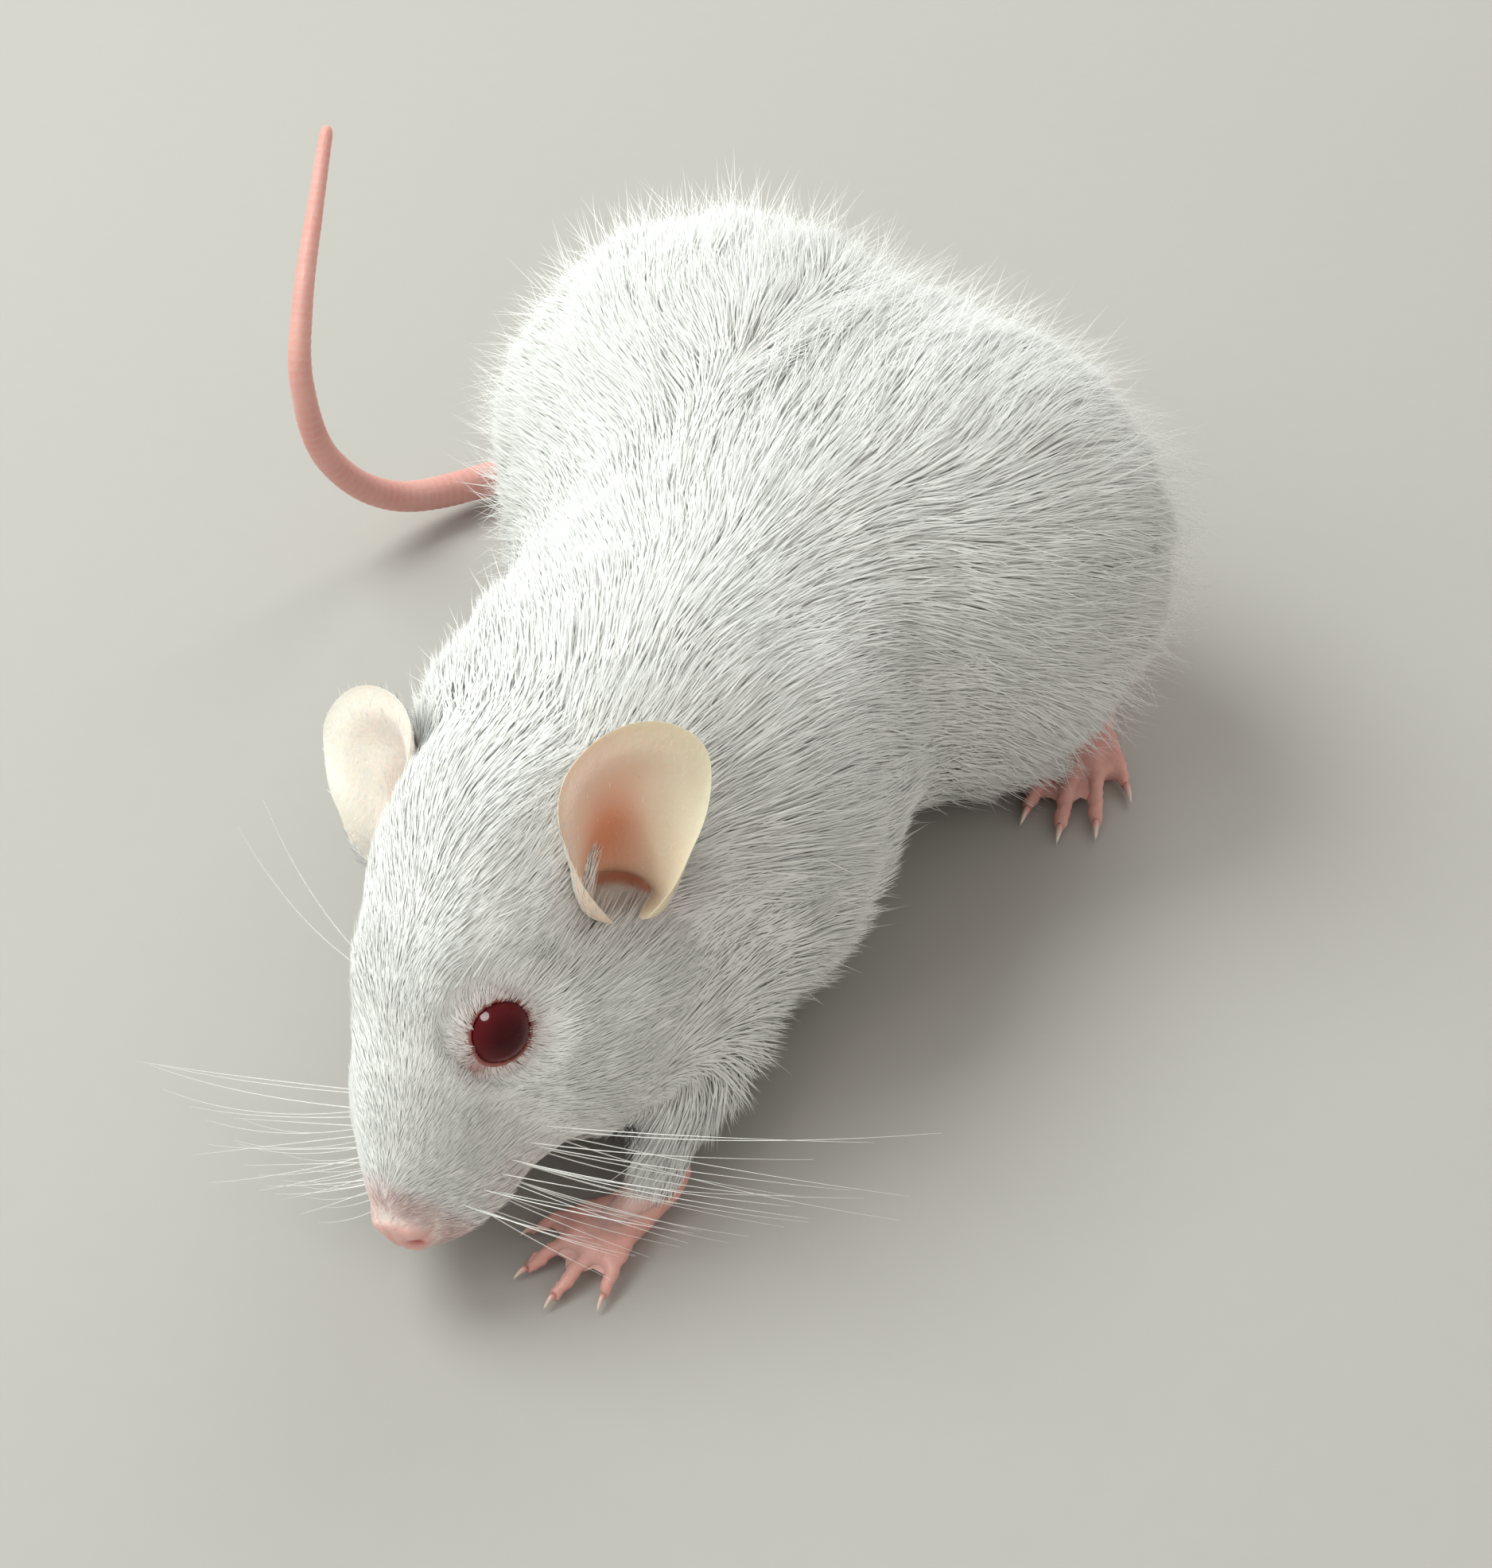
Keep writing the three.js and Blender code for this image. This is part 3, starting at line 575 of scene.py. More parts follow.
def closed_shell(name, nodes, voxel, grow):
    """Copies of nodes of the model, each swollen by grow mm, joined into one closed even mesh."""
    joined = bmesh.new()
    for node in nodes:
        bm = bmesh.new()
        bm.from_mesh(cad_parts[node].data)
        bmesh.ops.remove_doubles(bm, verts=bm.verts, dist=1e-6)
        bmesh.ops.recalc_face_normals(bm, faces=bm.faces)
        for v in bm.verts:
            v.co += v.normal * grow * MM
        copy = bpy.data.meshes.new(node + "_copy")
        bm.to_mesh(copy)
        joined.from_mesh(copy)
        bm.free()
        bpy.data.meshes.remove(copy)
    mesh = bpy.data.meshes.new(name)
    joined.to_mesh(mesh)
    joined.free()
    piece = new_object(name, mesh)
    remesh = piece.modifiers.new("even", "REMESH")
    remesh.mode = "VOXEL"
    remesh.voxel_size = voxel
    remesh.adaptivity = 0
    plain_mesh(piece)
    main_island(piece.data)
    return piece


def foot_islands(settings):
    """Fine skins for the four feet. Their tops dive under the skin of the legs."""
    for node in FEET:
        piece = closed_shell(node + "_skin", [node], settings.grain * 0.7, 0.1)
        mesh = piece.data
        points = relaxed(mesh, positions(mesh), np.ones(len(mesh.vertices)), 5)
        move_to(mesh, points)
        normals = vertex_normals(mesh)
        fore = node.startswith("forepaw")
        top = 3.6 if fore else 4.2
        dive = ramp(top - 0.8, top + 0.6, points[:, 2]) * 1.2
        crease = 0.07 * waves(points, 1.6, SEED + 30) + 0.05 * np.sin(toe_run(points) * 2 * math.pi / 1.3)
        points = points - normals * (dive - crease)[:, None]
        if fore:  # the palm is rounded underneath
            (x, y), heading, _, _ = FORE_FEET[0 if node.endswith("left") else 1]
            ahead, _ = foot_axes(heading)
            offset = points[:, :2] - (x, y) - 4.0 * ahead
            under = 0.32 * ramp(2.2, 0.0, points[:, 2]) * ramp(4.6, 2.8, offset @ ahead)
            points[:, :2] -= offset * under[:, None]
        points[:, 2] = np.maximum(points[:, 2], 0.0)
        faces = polygons_of(mesh, 4), polygons_of(mesh, 3)
        bpy.data.objects.remove(piece)
        yield points, *faces


def toe_run(points):
    """How far along its foot each point lies, for the folds across the toes."""
    feet = HIND_FEET + FORE_FEET
    heels = np.array([f[0] for f in feet])
    away = [np.linalg.norm(points[:, :2] - heel, axis=1) - foot[2] / 2 for heel, foot in zip(heels, feet)]
    own = np.argmin(away, axis=0)
    turn = np.radians(np.array([f[1] for f in feet]))[own]
    offset = points[:, :2] - heels[own]
    return offset[:, 0] * np.sin(turn) - offset[:, 1] * np.cos(turn)


def tail_radius(run):
    share = run / TAIL_RUN[-1]
    narrowing = (TAIL_TIP_RADIUS - TAIL_ROOT_RADIUS) * share**0.85
    return TAIL_ROOT_RADIUS + narrowing + 1.6 * np.exp(-14 * share)  # it flares into the rump


def tail_island(sides=20, rings=420):
    """The tail, ringed with scales. Its root dives under the skin of the rump."""
    run = np.linspace(5.0, TAIL_RUN[-1], rings)
    path = np.stack([np.interp(run, TAIL_RUN, TAIL[:, i]) for i in range(3)], axis=1)
    path = np.vstack([path, path[-1] + (path[-1] - path[-2]) * 1.2])[:rings]
    way = unit(np.gradient(path, axis=0))
    first = unit(np.cross(way, np.array([0.02, 0.1, 1.0])))
    second = np.cross(way, first)
    radius = tail_radius(run) - 1.3 * ramp(15, 10, run)
    end = np.clip((TAIL_RUN[-1] - run) / 1.1, 0, 1)
    radius = radius * np.sqrt(1 - (1 - end) ** 2 * 0.985)
    radius = radius * (1 + 0.022 * np.sin(run * 2 * math.pi / TAIL_PITCH) * ramp(13, 20, run) * end)
    spin = np.arange(sides) * 2 * math.pi / sides
    ring = path[:, None] + radius[:, None, None] * (
        np.cos(spin)[None, :, None] * first[:, None] + np.sin(spin)[None, :, None] * second[:, None])
    vertices = np.vstack([ring.reshape(-1, 3), path[:1], path[-1:] + way[-1] * 0.05])
    quads, caps = turned_out(vertices, *tube_faces(rings, sides))
    vertices[:, 2] = np.maximum(vertices[:, 2], 0.0)
    return vertices, quads, caps, np.concatenate([np.repeat(run, sides), [run[0], run[-1]]])


def refine(mesh, wanted):
    """Splits the faces whose points are wanted into four."""
    bm = bmesh.new()
    bm.from_mesh(mesh)
    bm.verts.ensure_lookup_table()
    edges = {e for f in bm.faces if all(wanted[v.index] for v in f.verts) for e in f.edges}
    bmesh.ops.subdivide_edges(bm, edges=list(edges), cuts=1, use_grid_fill=True)
    bmesh.ops.triangulate(bm, faces=[f for f in bm.faces if len(f.verts) > 4])
    bm.to_mesh(mesh)
    bm.free()


def eye_frame(side):
    """An eye's middle, and its axes out of the head, forward and over."""
    f, l, u = EYE_PLACE[side]
    centre = head_point(f, side * l, u)
    axis = head_direction(EYE_AXIS[0], side * EYE_AXIS[1], EYE_AXIS[2])
    forward = unit(HEAD_FORWARD - axis * (HEAD_FORWARD @ axis))
    return centre, axis, forward, np.cross(axis, forward)


def eye_distance(points):
    """From each point to the middle of the nearer eye."""
    return np.min([np.linalg.norm(points - eye_frame(side)[0], axis=1) for side in SIDES], axis=0)


def lid_edge(turn, side):
    """Angle of the lids' rim from the eye's axis. It runs to a point at the inner and outer corners."""
    inner = hump(np.angle(np.exp(1j * (turn - 0.25 * side))), 0.45)
    outer = hump(np.angle(np.exp(1j * (turn - math.pi))), 0.4)
    return LID_ANGLE + math.radians(11) * inner + math.radians(4) * outer


def lid_angles(rays, side):
    """Angle of rays from the eye's middle to its axis, and of the lids' rim in the same direction."""
    _, axis, forward, over = eye_frame(side)
    angle = np.arccos(np.clip(rays @ axis, -1, 1))
    return angle, lid_edge(np.arctan2(rays @ over, rays @ forward), side)


def lid_skin_and_shade_share(points):
    """The narrow ring of bare skin beside the lids, from 0 to 1. It takes the lids' colour: pink skin
    darkened with painted shade.
    """
    share = np.zeros(len(points))
    for side in SIDES:
        offset = points - eye_frame(side)[0]
        distance = np.maximum(np.linalg.norm(offset, axis=1), 0.01)
        angle, edge = lid_angles(offset / distance[:, None], side)
        near = ramp(EYE_RADIUS + 2.2, EYE_RADIUS + 1.2, distance)
        share = np.maximum(share, ramp(0.15, 0.05, angle - edge) * near)
    return share


def cup_share(points):
    """Skin of the head that shows in the hollow of an ear, from 0 to 1."""
    share = np.zeros(len(points))
    for side in SIDES:
        h, a, g, v = ear_coordinates(points, side)
        half, rim = ear_cup(v)
        reach = np.maximum(rim, 2)
        inside = ramp(half + 0.5, half, np.abs(a)) * ramp(reach + 2.0, reach + 0.5, g)
        share = np.maximum(share, inside * ramp(1.8, 3.0, h) * (h < EAR_LENGTH - 2)
                           * ramp(-1.1, -0.4, g - ear_wall(v, a) + ear_pull(v)))
    return share


def shape_sockets(points):
    """Lays the skin round each eyeball up to the rim of its lids."""
    for side in SIDES:
        centre = eye_frame(side)[0]
        offset = points - centre
        distance = np.linalg.norm(offset, axis=1)
        near = distance < EYE_RADIUS + 2.6
        ray = offset[near] / distance[near, None]
        angle, edge = lid_angles(ray, side)
        r = distance[near]
        highest = EYE_RADIUS + 0.45 + 2.6 * np.maximum(angle - edge, 0)
        lid = np.clip(r, EYE_RADIUS + 0.32, highest)
        r = np.where(angle < edge, np.minimum(r, EYE_RADIUS - 0.7), np.where(angle < edge + 0.7, lid, r))
        points[near] = centre + ray * r[:, None]
    return points


def taper_muzzle(points):
    """Narrows the muzzle towards the nose and sets the chin back."""
    f, l, u = head_coordinates(points).T
    on = ramp(-20, -17, u) * (f > 15)
    k = ramp(25, 36, f) * on
    l = l * (1 - 0.3 * k) + 0.6 * k
    u = np.where(u > -8.5, -8.5 + (u + 8.5) * (1 - 0.14 * k), -8.5 + (u + 8.5) * (1 - 0.1 * k))
    f = f - 3.2 * ramp(-11.2, -14.5, u) * ramp(24, 33, f) * on
    return HEAD_ORIGIN + HEAD_SCALE * np.stack([f, l, u], 1) @ HEAD_AXES


def pad_creases(f, a, u):
    """The furrows between the rows of whiskers, from 0 to 1."""
    row = (u + 9.2 + 0.35 * (f - 27)) / 1.5
    return hump(row - np.round(row), 0.26) * bell((f - 27) / 4.0, (a - 4.6) / 2.6, (u + 10) / 3)


def nostrils(f, a, u):
    """The round of each nostril and the slit that runs back from it, from 0 to 1."""
    opening = bell((f - 34.0) / 1.9, (a - 1.75) / 0.7, (u + 7.3 + 0.5 * (a - 1.5)) / 0.85)
    slit = bell((f - 33.4) / 1.3, (a - 2.4) / 0.8, (u + 6.9) / 0.32)
    return opening, slit


def shape_face(points, normals):
    """Nostrils, the cleft of the lip, the mouth line and the whisker pads."""
    f, l, u = head_coordinates(points).T
    l = l - 0.6 * ramp(25, 36, f)
    a = np.abs(l)
    on = ramp(14, 20, f) * ramp(-20, -17, u)
    change = np.zeros(len(points))
    nostril, slit = nostrils(f, a, u)
    change -= 1.3 * nostril + 0.6 * slit
    change += 0.45 * bell((f - 34.2) / 1.8, (a - 2.0) / 0.8, (u + 6.0) / 0.9)
    change -= 0.3 * hump(l, 0.3) * ramp(32.5, 34, f) * ramp(-4.5, -6, u) * ramp(-9, -8, u)
    cleft = hump(l, 0.34) * ramp(30.5, 32.5, f) * ramp(-8.2, -9.4, u)
    change -= 0.75 * cleft
    mouth_u = np.interp(f, [18, 24, 29, 33.5], [-15.2, -14.2, -13.4, -12.4])
    mouth = hump(u - mouth_u, 0.42) * ramp(18, 22, f) * ramp(36, 33, f)
    change -= 0.95 * mouth
    pad = bell((f - 27.8) / 4.0, (a - 4.2) / 2.8, (u + 10) / 2.6)
    change += 0.85 * pad - 0.4 * pad_creases(f, a, u)
    change -= 0.35 * bell((f - 24.5) / 3, (a - 5.6) / 1.6, (u + 4.5) / 1.6)
    change = change * on + 0.55 * bell((f - 15.5) / 5.0, (a - 4.4) / 1.7) * ramp(1, 4, u)
    return points + normals * change[:, None]


def fold_depth(points):
    """How far the folds of the back press the skin in."""
    main, _ = near_line(points, BACK_FOLD)
    side, _ = near_line(points, SIDE_FOLD)
    top = ramp(25, 34, points[:, 2])
    deep = 0.7 + 1.9 * ramp(36, 47, points[:, 1])
    return (deep * hump(main, 1.6 + 1.6 * ramp(36, 47, points[:, 1])) + 0.4 * hump(side, 1.4)) * top


def lid_rims():
    """A soft rounded rim round each eye."""
    vertices, faces = [], []
    around, sides = 56, 8
    for side in SIDES:
        centre, axis, forward, over = eye_frame(side)
        turn = np.arange(around) * 2 * math.pi / around
        edge = lid_edge(turn, side)
        out = np.cos(turn)[:, None] * forward + np.sin(turn)[:, None] * over
        ray = np.cos(edge)[:, None] * axis + np.sin(edge)[:, None] * out
        tangent = unit(np.roll(ray, -1, axis=0) - np.roll(ray, 1, axis=0))
        low = unit(np.cross(tangent, ray))
        size = 0.2 + 0.12 * hump(np.angle(np.exp(1j * (turn - 0.25 * side))), 0.5)
        spin = np.arange(sides) * 2 * math.pi / sides
        middle = centre + ray * (EYE_RADIUS + 0.14)
        ring = (middle[:, None] + size[:, None, None] * (
            np.cos(spin)[None, :, None] * ray[:, None] * 0.75 + np.sin(spin)[None, :, None] * low[:, None]))
        start = sum(len(v) for v in vertices)
        vertices.append(ring.reshape(-1, 3))
        i, j = np.meshgrid(np.arange(around), np.arange(sides), indexing="ij")
        i2, j2 = (i + 1) % around, (j + 1) % sides
        quads = np.stack([i * sides + j, i2 * sides + j, i2 * sides + j2, i * sides + j2], -1).reshape(-1, 4)
        faces.append(turned_out(vertices[-1] - middle.mean(0), quads)[0] + start)
    return np.vstack(vertices), np.vstack(faces)


def ear_frame(side):
    """An ear's root, and its axes up the leaf, across it and the way it faces."""
    f, l, u = EAR_ROOT[side]
    root = head_point(f, side * l, u)
    f, l, u = EAR_UP[side]
    up = head_direction(f, side * l, u)
    f, l, u = EAR_FACING[side]
    across = unit(np.cross(up, head_direction(f, side * l, u)))
    return root, up, across, np.cross(across, up)


def ear_coordinates(points, side):
    """Up an ear's leaf, across it, the way it faces, and the share of its height."""
    root, up, across, facing = ear_frame(side)
    offset = points - root
    h = offset @ up
    return h, offset @ across, offset @ facing, np.clip(h / EAR_LENGTH, 0, 1)


def ear_curve(v):
    """Radius of the leaf's cup at a height."""
    bend = ramp(0, 1, v)
    return 1 / ((1 - bend) / EAR_ROOT_CURVE + bend / EAR_TIP_CURVE)


def ear_cup(v):
    """At a height up the ear: the cup's half width, and how far its edges stand forward."""
    h = 2 * v - 1
    edge = np.sqrt(np.maximum(1 - h**2, 0)) * ear_wrap(h) * EAR_WIDTH * (0.95 + 0.1 * h) / 2 / ear_curve(v)
    curve = ear_curve(v)
    return curve * np.sin(np.minimum(edge, math.pi / 2)), curve * (1 - np.cos(np.minimum(edge, 3.0)))


def ear_wall(v, a):
    """How far forward the cup's inner face stands, at a height and a place across."""
    curve = ear_curve(v)
    return curve - np.sqrt(np.maximum(curve**2 - np.minimum(np.abs(a), 0.96 * curve) ** 2, 0))


def ear_pull(v):
    """How far the foot of the leaf lies back, in the coat of the head."""
    return 6.0 * ramp(0.27, 0, v)


def ear_wrap(h):
    """How much further than a flat leaf the cup closes round, most at its foot."""
    return 1 + 0.75 * ramp(0.1, -0.9, h)


def ear_leaf(side, share, angle, back):
    """A point of the ear's front or back sheet and its place on the leaf: towards the head, and up."""
    root, up, across, facing = ear_frame(side)
    w, h = share * np.cos(angle), share * np.sin(angle)
    inward = -w * side
    v = 0.5 + 0.5 * h
    width = EAR_WIDTH * (0.95 + 0.1 * h + 0.02 * np.sin(3 * angle + side) + 0.012 * np.sin(7 * angle))
    curve = ear_curve(v)
    arc = w * ear_wrap(h) * width / 2 / curve + side * 0.17 * ramp(-0.1, 1, h)  # the tip leans outward
    relief = 0.9 * bell((inward - 0.66) / 0.24, (h + 0.15) / 0.6)  # the front edge's fold
    relief -= 1.0 * bell((inward - 0.16) / 0.3, (h + 0.28) / 0.42)  # the hollow
    relief += 0.45 * hump(inward + 0.3 - 0.25 * h, 0.14) * ramp(0.9, 0.5, share) * ramp(0.5, 0.0, h)
    relief += 0.16 * np.sin(9 * h + 2 * inward) * hump(inward + 0.05, 0.3) * ramp(0.75, 0.3, share)
    relief += 0.9 * bell((inward + 0.05) / 0.2, (h + 0.86) / 0.12)  # the lobe under the notch
    thick = 0.75 * (1 - share**2) + 0.3 * np.sqrt(np.maximum(1 - share**6, 0))
    reach = curve + (thick if back else 0)
    flare = 0.8 * ramp(0.7, 1.0, share) * ramp(-0.3, 0.6, h)
    shift = relief * (0.6 if back else 1.0) - flare - ear_pull(v)
    point = (root + up * (EAR_LENGTH * v)[:, None] + across * (np.sin(arc) * reach)[:, None]
             + facing * (curve - np.cos(arc) * reach + shift)[:, None])
    return point, inward, h


def clear_hollows(points):
    """Presses the skin of the head back behind the hollow of each ear."""
    for side in SIDES:
        h, a, g, v = ear_coordinates(points, side)
        half, _ = ear_cup(v)
        wall = ear_wall(v, a) - 1.6
        over = ramp(0.4, 2.4, h) * ramp(half + 0.3, half - 0.5, np.abs(a)) * (h < EAR_LENGTH + 1) * (g < 9)
        push = np.maximum(g - wall, 0) * over
        points = points - ear_frame(side)[3] * push[:, None]
    return points


def ear_mesh(side):
    """Vertices, faces and tints of one ear."""
    share = np.concatenate([np.arange(1, EAR_RINGS + 1), np.arange(EAR_RINGS - 1, 0, -1)]) / EAR_RINGS
    share = np.sin(share * math.pi / 2) ** 0.9
    back = np.concatenate([np.zeros(EAR_RINGS, bool), np.ones(EAR_RINGS - 1, bool)])
    angle = np.arange(EAR_SPOKES) * 2 * math.pi / EAR_SPOKES
    points, inner, rim, fuzz, pale = [], [], [], [], []
    for k, (s, b) in enumerate(zip(share, back)):
        p, inward, h = ear_leaf(side, np.full(EAR_SPOKES, s), angle, b)
        if k == EAR_RINGS - 1:
            q, _, _ = ear_leaf(side, np.full(EAR_SPOKES, s), angle, True)
            p = (p + q) / 2
        points.append(p)
        deep = np.exp(-(((inward - 0.14) / 0.4) ** 2 + ((h + 0.14) / 0.68) ** 2) * 1.15)
        inner.append((0.12 if b else (1.0 if side > 0 else 0.55)) * deep)
        # The right ear's base is buried in fur.
        base = ramp(-0.1, -0.6, h) if side < 0 else np.zeros(EAR_SPOKES)
        pale.append(base * 0.9 + (1 - base) * (0.0 if side > 0 else 0.55))
        rim.append(ramp(0.35, -0.25, inward - 0.35 * h) * (1.0 if side > 0 else 0.55))
        front = ramp(0.5, 0.85, inward) * hump(h - 0.1, 0.35)
        down = 0.7 * ramp(0.98, 0.85, s) if b else (0.02 if side > 0 else 0.3)
        fuzz.append(down + 0.4 * front + 1.5 * base)
    poles = [ear_leaf(side, np.array([0.0]), np.array([0.0]), b)[0][0] for b in (False, True)]
    vertices = np.vstack([*points, poles])
    quads, caps = turned_out(vertices, *tube_faces(len(points), EAR_SPOKES))
    inner = np.concatenate([np.concatenate(inner), [0.9, 0.1]])
    rim = np.concatenate([np.concatenate(rim), [0.2, 0.2]])
    fuzz = np.concatenate([np.concatenate(fuzz), [0, 1]])
    pale = np.concatenate([np.concatenate(pale), [pale[0][0]] * 2])
    return vertices, quads, caps, {"inner_ear": inner, "ear_rim": rim * (1 - 0.8 * inner), "ear": 1.0,
                                   "fuzz": fuzz, "pale": pale}


SKIN_VALUES = ("bare", "nose", "nostril", "flush_and_furrow_shade", "lid", "ear", "inner_ear", "ear_rim", "tail_mm", "furred",
               "fuzz", "pale", "cup")


def make_skin(settings, look):
    """One mesh: the body, and the finer lids, ears, feet and tail set into it."""
    piece = closed_shell("skin", BODY, settings.grain, 0.26)
    mesh = piece.data
    f, _, u = head_coordinates(positions(mesh)).T
    refine(mesh, (f > 13) & (u > -18) & (f < 40))
    points = positions(mesh)
    points = relaxed(mesh, points, np.ones(len(points)), 3)
    points = taper_muzzle(points)
    regions = find_regions(points)
    f = head_coordinates(points)[:, 0]
    soft = (1 - regions["bare"]) * (1 - 0.75 * ramp(8, 16, f) * regions["head"])
    points = relaxed(mesh, points, soft, 16)
    move_to(mesh, points)
    normals = vertex_normals(mesh)
    depth = coat_depth(points, regions, settings.coat_depth / MM)
    depth += np.maximum(0.5 * regions["feet"], 0.6 * regions["tail"])  # under the fine skin of feet and tail
    points = points - normals * (depth + fold_depth(points))[:, None]
    points = relaxed(mesh, points, soft * 0.6, 6)
    points = clear_hollows(points)
    points[:, 2] = np.maximum(points[:, 2], LOWEST)
    move_to(mesh, points)
    points = shape_face(points, vertex_normals(mesh))
    points = shape_sockets(points)
    f, l, u = head_coordinates(points).T
    opening, slit = nostrils(f, np.abs(l - 0.6), u)
    # Pink where thin hair shows the skin. Along the whisker pads' furrows it is pink skin darkened as painted
    # shade.
    flush_and_furrow_shade = (regions["socket"] * 0.35 + 0.5 * ramp(31, 34, f) * regions["head"]
             + 0.8 * pad_creases(f, np.abs(l), u) * regions["head"]
             + 0.3 * ramp(18, 26, f) * ramp(-11, -14, u))
    cup = cup_share(points)
    body = {"bare": regions["feet"], "nose": regions["nose"], "flush_and_furrow_shade": np.clip(flush_and_furrow_shade, 0, 1),
            "furred": 1 - cup, "cup": cup, "lid": lid_skin_and_shade_share(points),
            "nostril": np.clip(opening * 1.8 + slit, 0, 1) * regions["head"]}
    parts = [(points, polygons_of(mesh, 4), polygons_of(mesh, 3), body)]
    # The rims of the lids take the lids' colour: pink skin darkened with painted shade.
    parts.append((*lid_rims(), np.empty((0, 3), int), {"lid": 1.0}))
    parts.extend(ear_mesh(side) for side in SIDES)
    parts.extend((*foot, {"bare": 1.0}) for foot in foot_islands(settings))
    *tail, run = tail_island()
    parts.append((*tail, {"bare": 1.0, "tail_mm": run}))
    count, quads, tris, tints = 0, [], [], {key: [] for key in SKIN_VALUES}
    for vertices, some_quads, some_tris, values in parts:
        quads.append(some_quads + count)
        tris.append(some_tris + count)
        for key, found in tints.items():
            found.append(np.zeros(len(vertices)) + values.get(key, 0.0))
        count += len(vertices)
    done = new_mesh("skin", np.vstack([part[0] for part in parts]), [np.vstack(quads), np.vstack(tris)])
    piece.data = done
    bpy.data.meshes.remove(mesh)
    for key, values in tints.items():
        set_values(done, key, np.concatenate(values))
    done.materials.append(skin_material(look))
    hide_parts(*FLESH)
    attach(piece, "root")


# ---------------------------------------------------------------- eyes and claws
def make_eyes(look):
    material = eye_material(look)
    for side, word in SIDES.items():
        centre, axis, forward, over = eye_frame(side)
        rings, around = 30, 48
        lat = np.linspace(0, math.pi, rings + 2)[1:-1]
        turn = np.arange(around) * 2 * math.pi / around
        bulge = 1 + EYE_BULGE * hump(lat, 0.55)
        ray = (np.cos(lat)[:, None, None] * axis + np.sin(lat)[:, None, None] * (
            np.cos(turn)[None, :, None] * forward + np.sin(turn)[None, :, None] * over))
        body = centre + ray * (EYE_RADIUS * bulge)[:, None, None]
        front = centre + axis * EYE_RADIUS * (1 + EYE_BULGE)
        vertices = np.vstack([body.reshape(-1, 3), front, centre - axis * EYE_RADIUS])
        quads, caps = tube_faces(rings, around)
        mesh = new_mesh(f"eyeball_{word}", vertices, [quads[:, [0, 3, 2, 1]], caps[:, [1, 0, 2]]])
        edge = np.concatenate([np.repeat(np.clip(lat / LID_ANGLE, 0, 1.3), around), [0, 1.3]])
        set_values(mesh, "edge", edge)
        mesh.materials.append(material)
        piece = new_object(f"eyeball_{word}", mesh)
        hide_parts(f"eye_{word}")
        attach(piece, "root")


def toe_tips():
    """Where each claw grows: its root, its heading and its length."""
    tips = []
    for feet, toes, size in ((HIND_FEET, HIND_TOES, 2.3), (FORE_FEET, FORE_TOES, 1.5)):
        for index, ((x, y), heading, _, _) in enumerate(feet):
            side = 1 if index == 0 else -1
            ahead, across = (np.append(way, 0) for way in foot_axes(heading))
            for start, out, reach, splay in toes:
                s = math.radians(splay * side)
                way = ahead * math.cos(s) + across * math.sin(s)
                root = np.array([x, y, 0]) + ahead * start + across * out * side + way * (reach - 0.1)
                tips.append((root, way, size))
    return tips


def make_claws(look):
    """A curved horn for each toe, from a ring of points at its root to one at its tip."""
    along, around = np.linspace(0, 1, 6), 8
    rise = np.array([0, 0, 1])
    paths, side, up, widths = [], [], [], []
    for root, way, size in toe_tips():
        t = along[:, None]
        paths.append(root + way * size * t + rise * (1.05 + 0.55 * t - 1.25 * t**2))
        side.append(np.cross(rise, way))
        up.append(rise)
        widths.append(0.42 * (1 - along[:-1]) ** 0.7 * size / 2)
    paths, side, up, widths = (np.array(v, float) for v in (paths, side, up, widths))
    vertices, faces = strand_arrays(paths, side, up, widths, widths * 1.25, around)
    mesh = new_mesh("claws", vertices, faces)
    along = np.tile(np.append(np.repeat(along[:-1], around), 1.0), len(paths))
    set_values(mesh, "along", along)
    mesh.materials.append(horn_material(look))
    piece = new_object("claws", mesh)
    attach(piece, "root")


# ---------------------------------------------------------------- whiskers
def strand_tree(material):
    """Geometry nodes that give curves a round tapering body."""
    tree = bpy.data.node_groups.new("whisker_body", "GeometryNodeTree")
    face = tree.interface
    face.new_socket("Geometry", in_out="INPUT", socket_type="NodeSocketGeometry")
    sides = face.new_socket("Sides", in_out="INPUT", socket_type="NodeSocketInt")
    width = face.new_socket("Width", in_out="INPUT", socket_type="NodeSocketFloat")
    face.new_socket("Geometry", in_out="OUTPUT", socket_type="NodeSocketGeometry")
    nodes, links = tree.nodes, tree.links
    start, end = nodes.new("NodeGroupInput"), nodes.new("NodeGroupOutput")
    circle = nodes.new("GeometryNodeCurvePrimitiveCircle")
    body = nodes.new("GeometryNodeCurveToMesh")
    body.inputs["Fill Caps"].default_value = True
    shade = nodes.new("GeometryNodeSetShadeSmooth")
    realize = nodes.new("GeometryNodeRealizeInstances")
    paint = nodes.new("GeometryNodeSetMaterial")
    paint.inputs["Material"].default_value = material
    links.new(start.outputs["Sides"], circle.inputs["Resolution"])
    links.new(start.outputs["Width"], circle.inputs["Radius"])
    links.new(start.outputs["Geometry"], body.inputs["Curve"])
    links.new(circle.outputs["Curve"], body.inputs["Profile Curve"])
    if "Scale" in body.inputs:
        radius = nodes.new("GeometryNodeInputRadius")
        links.new(radius.outputs[0], body.inputs["Scale"])
    links.new(body.outputs["Mesh"], shade.inputs["Geometry"])
    links.new(shade.outputs["Geometry"], realize.inputs["Geometry"])
    links.new(realize.outputs["Geometry"], paint.inputs["Geometry"])
    links.new(paint.outputs["Geometry"], end.inputs["Geometry"])
    return tree, sides.identifier, width.identifier


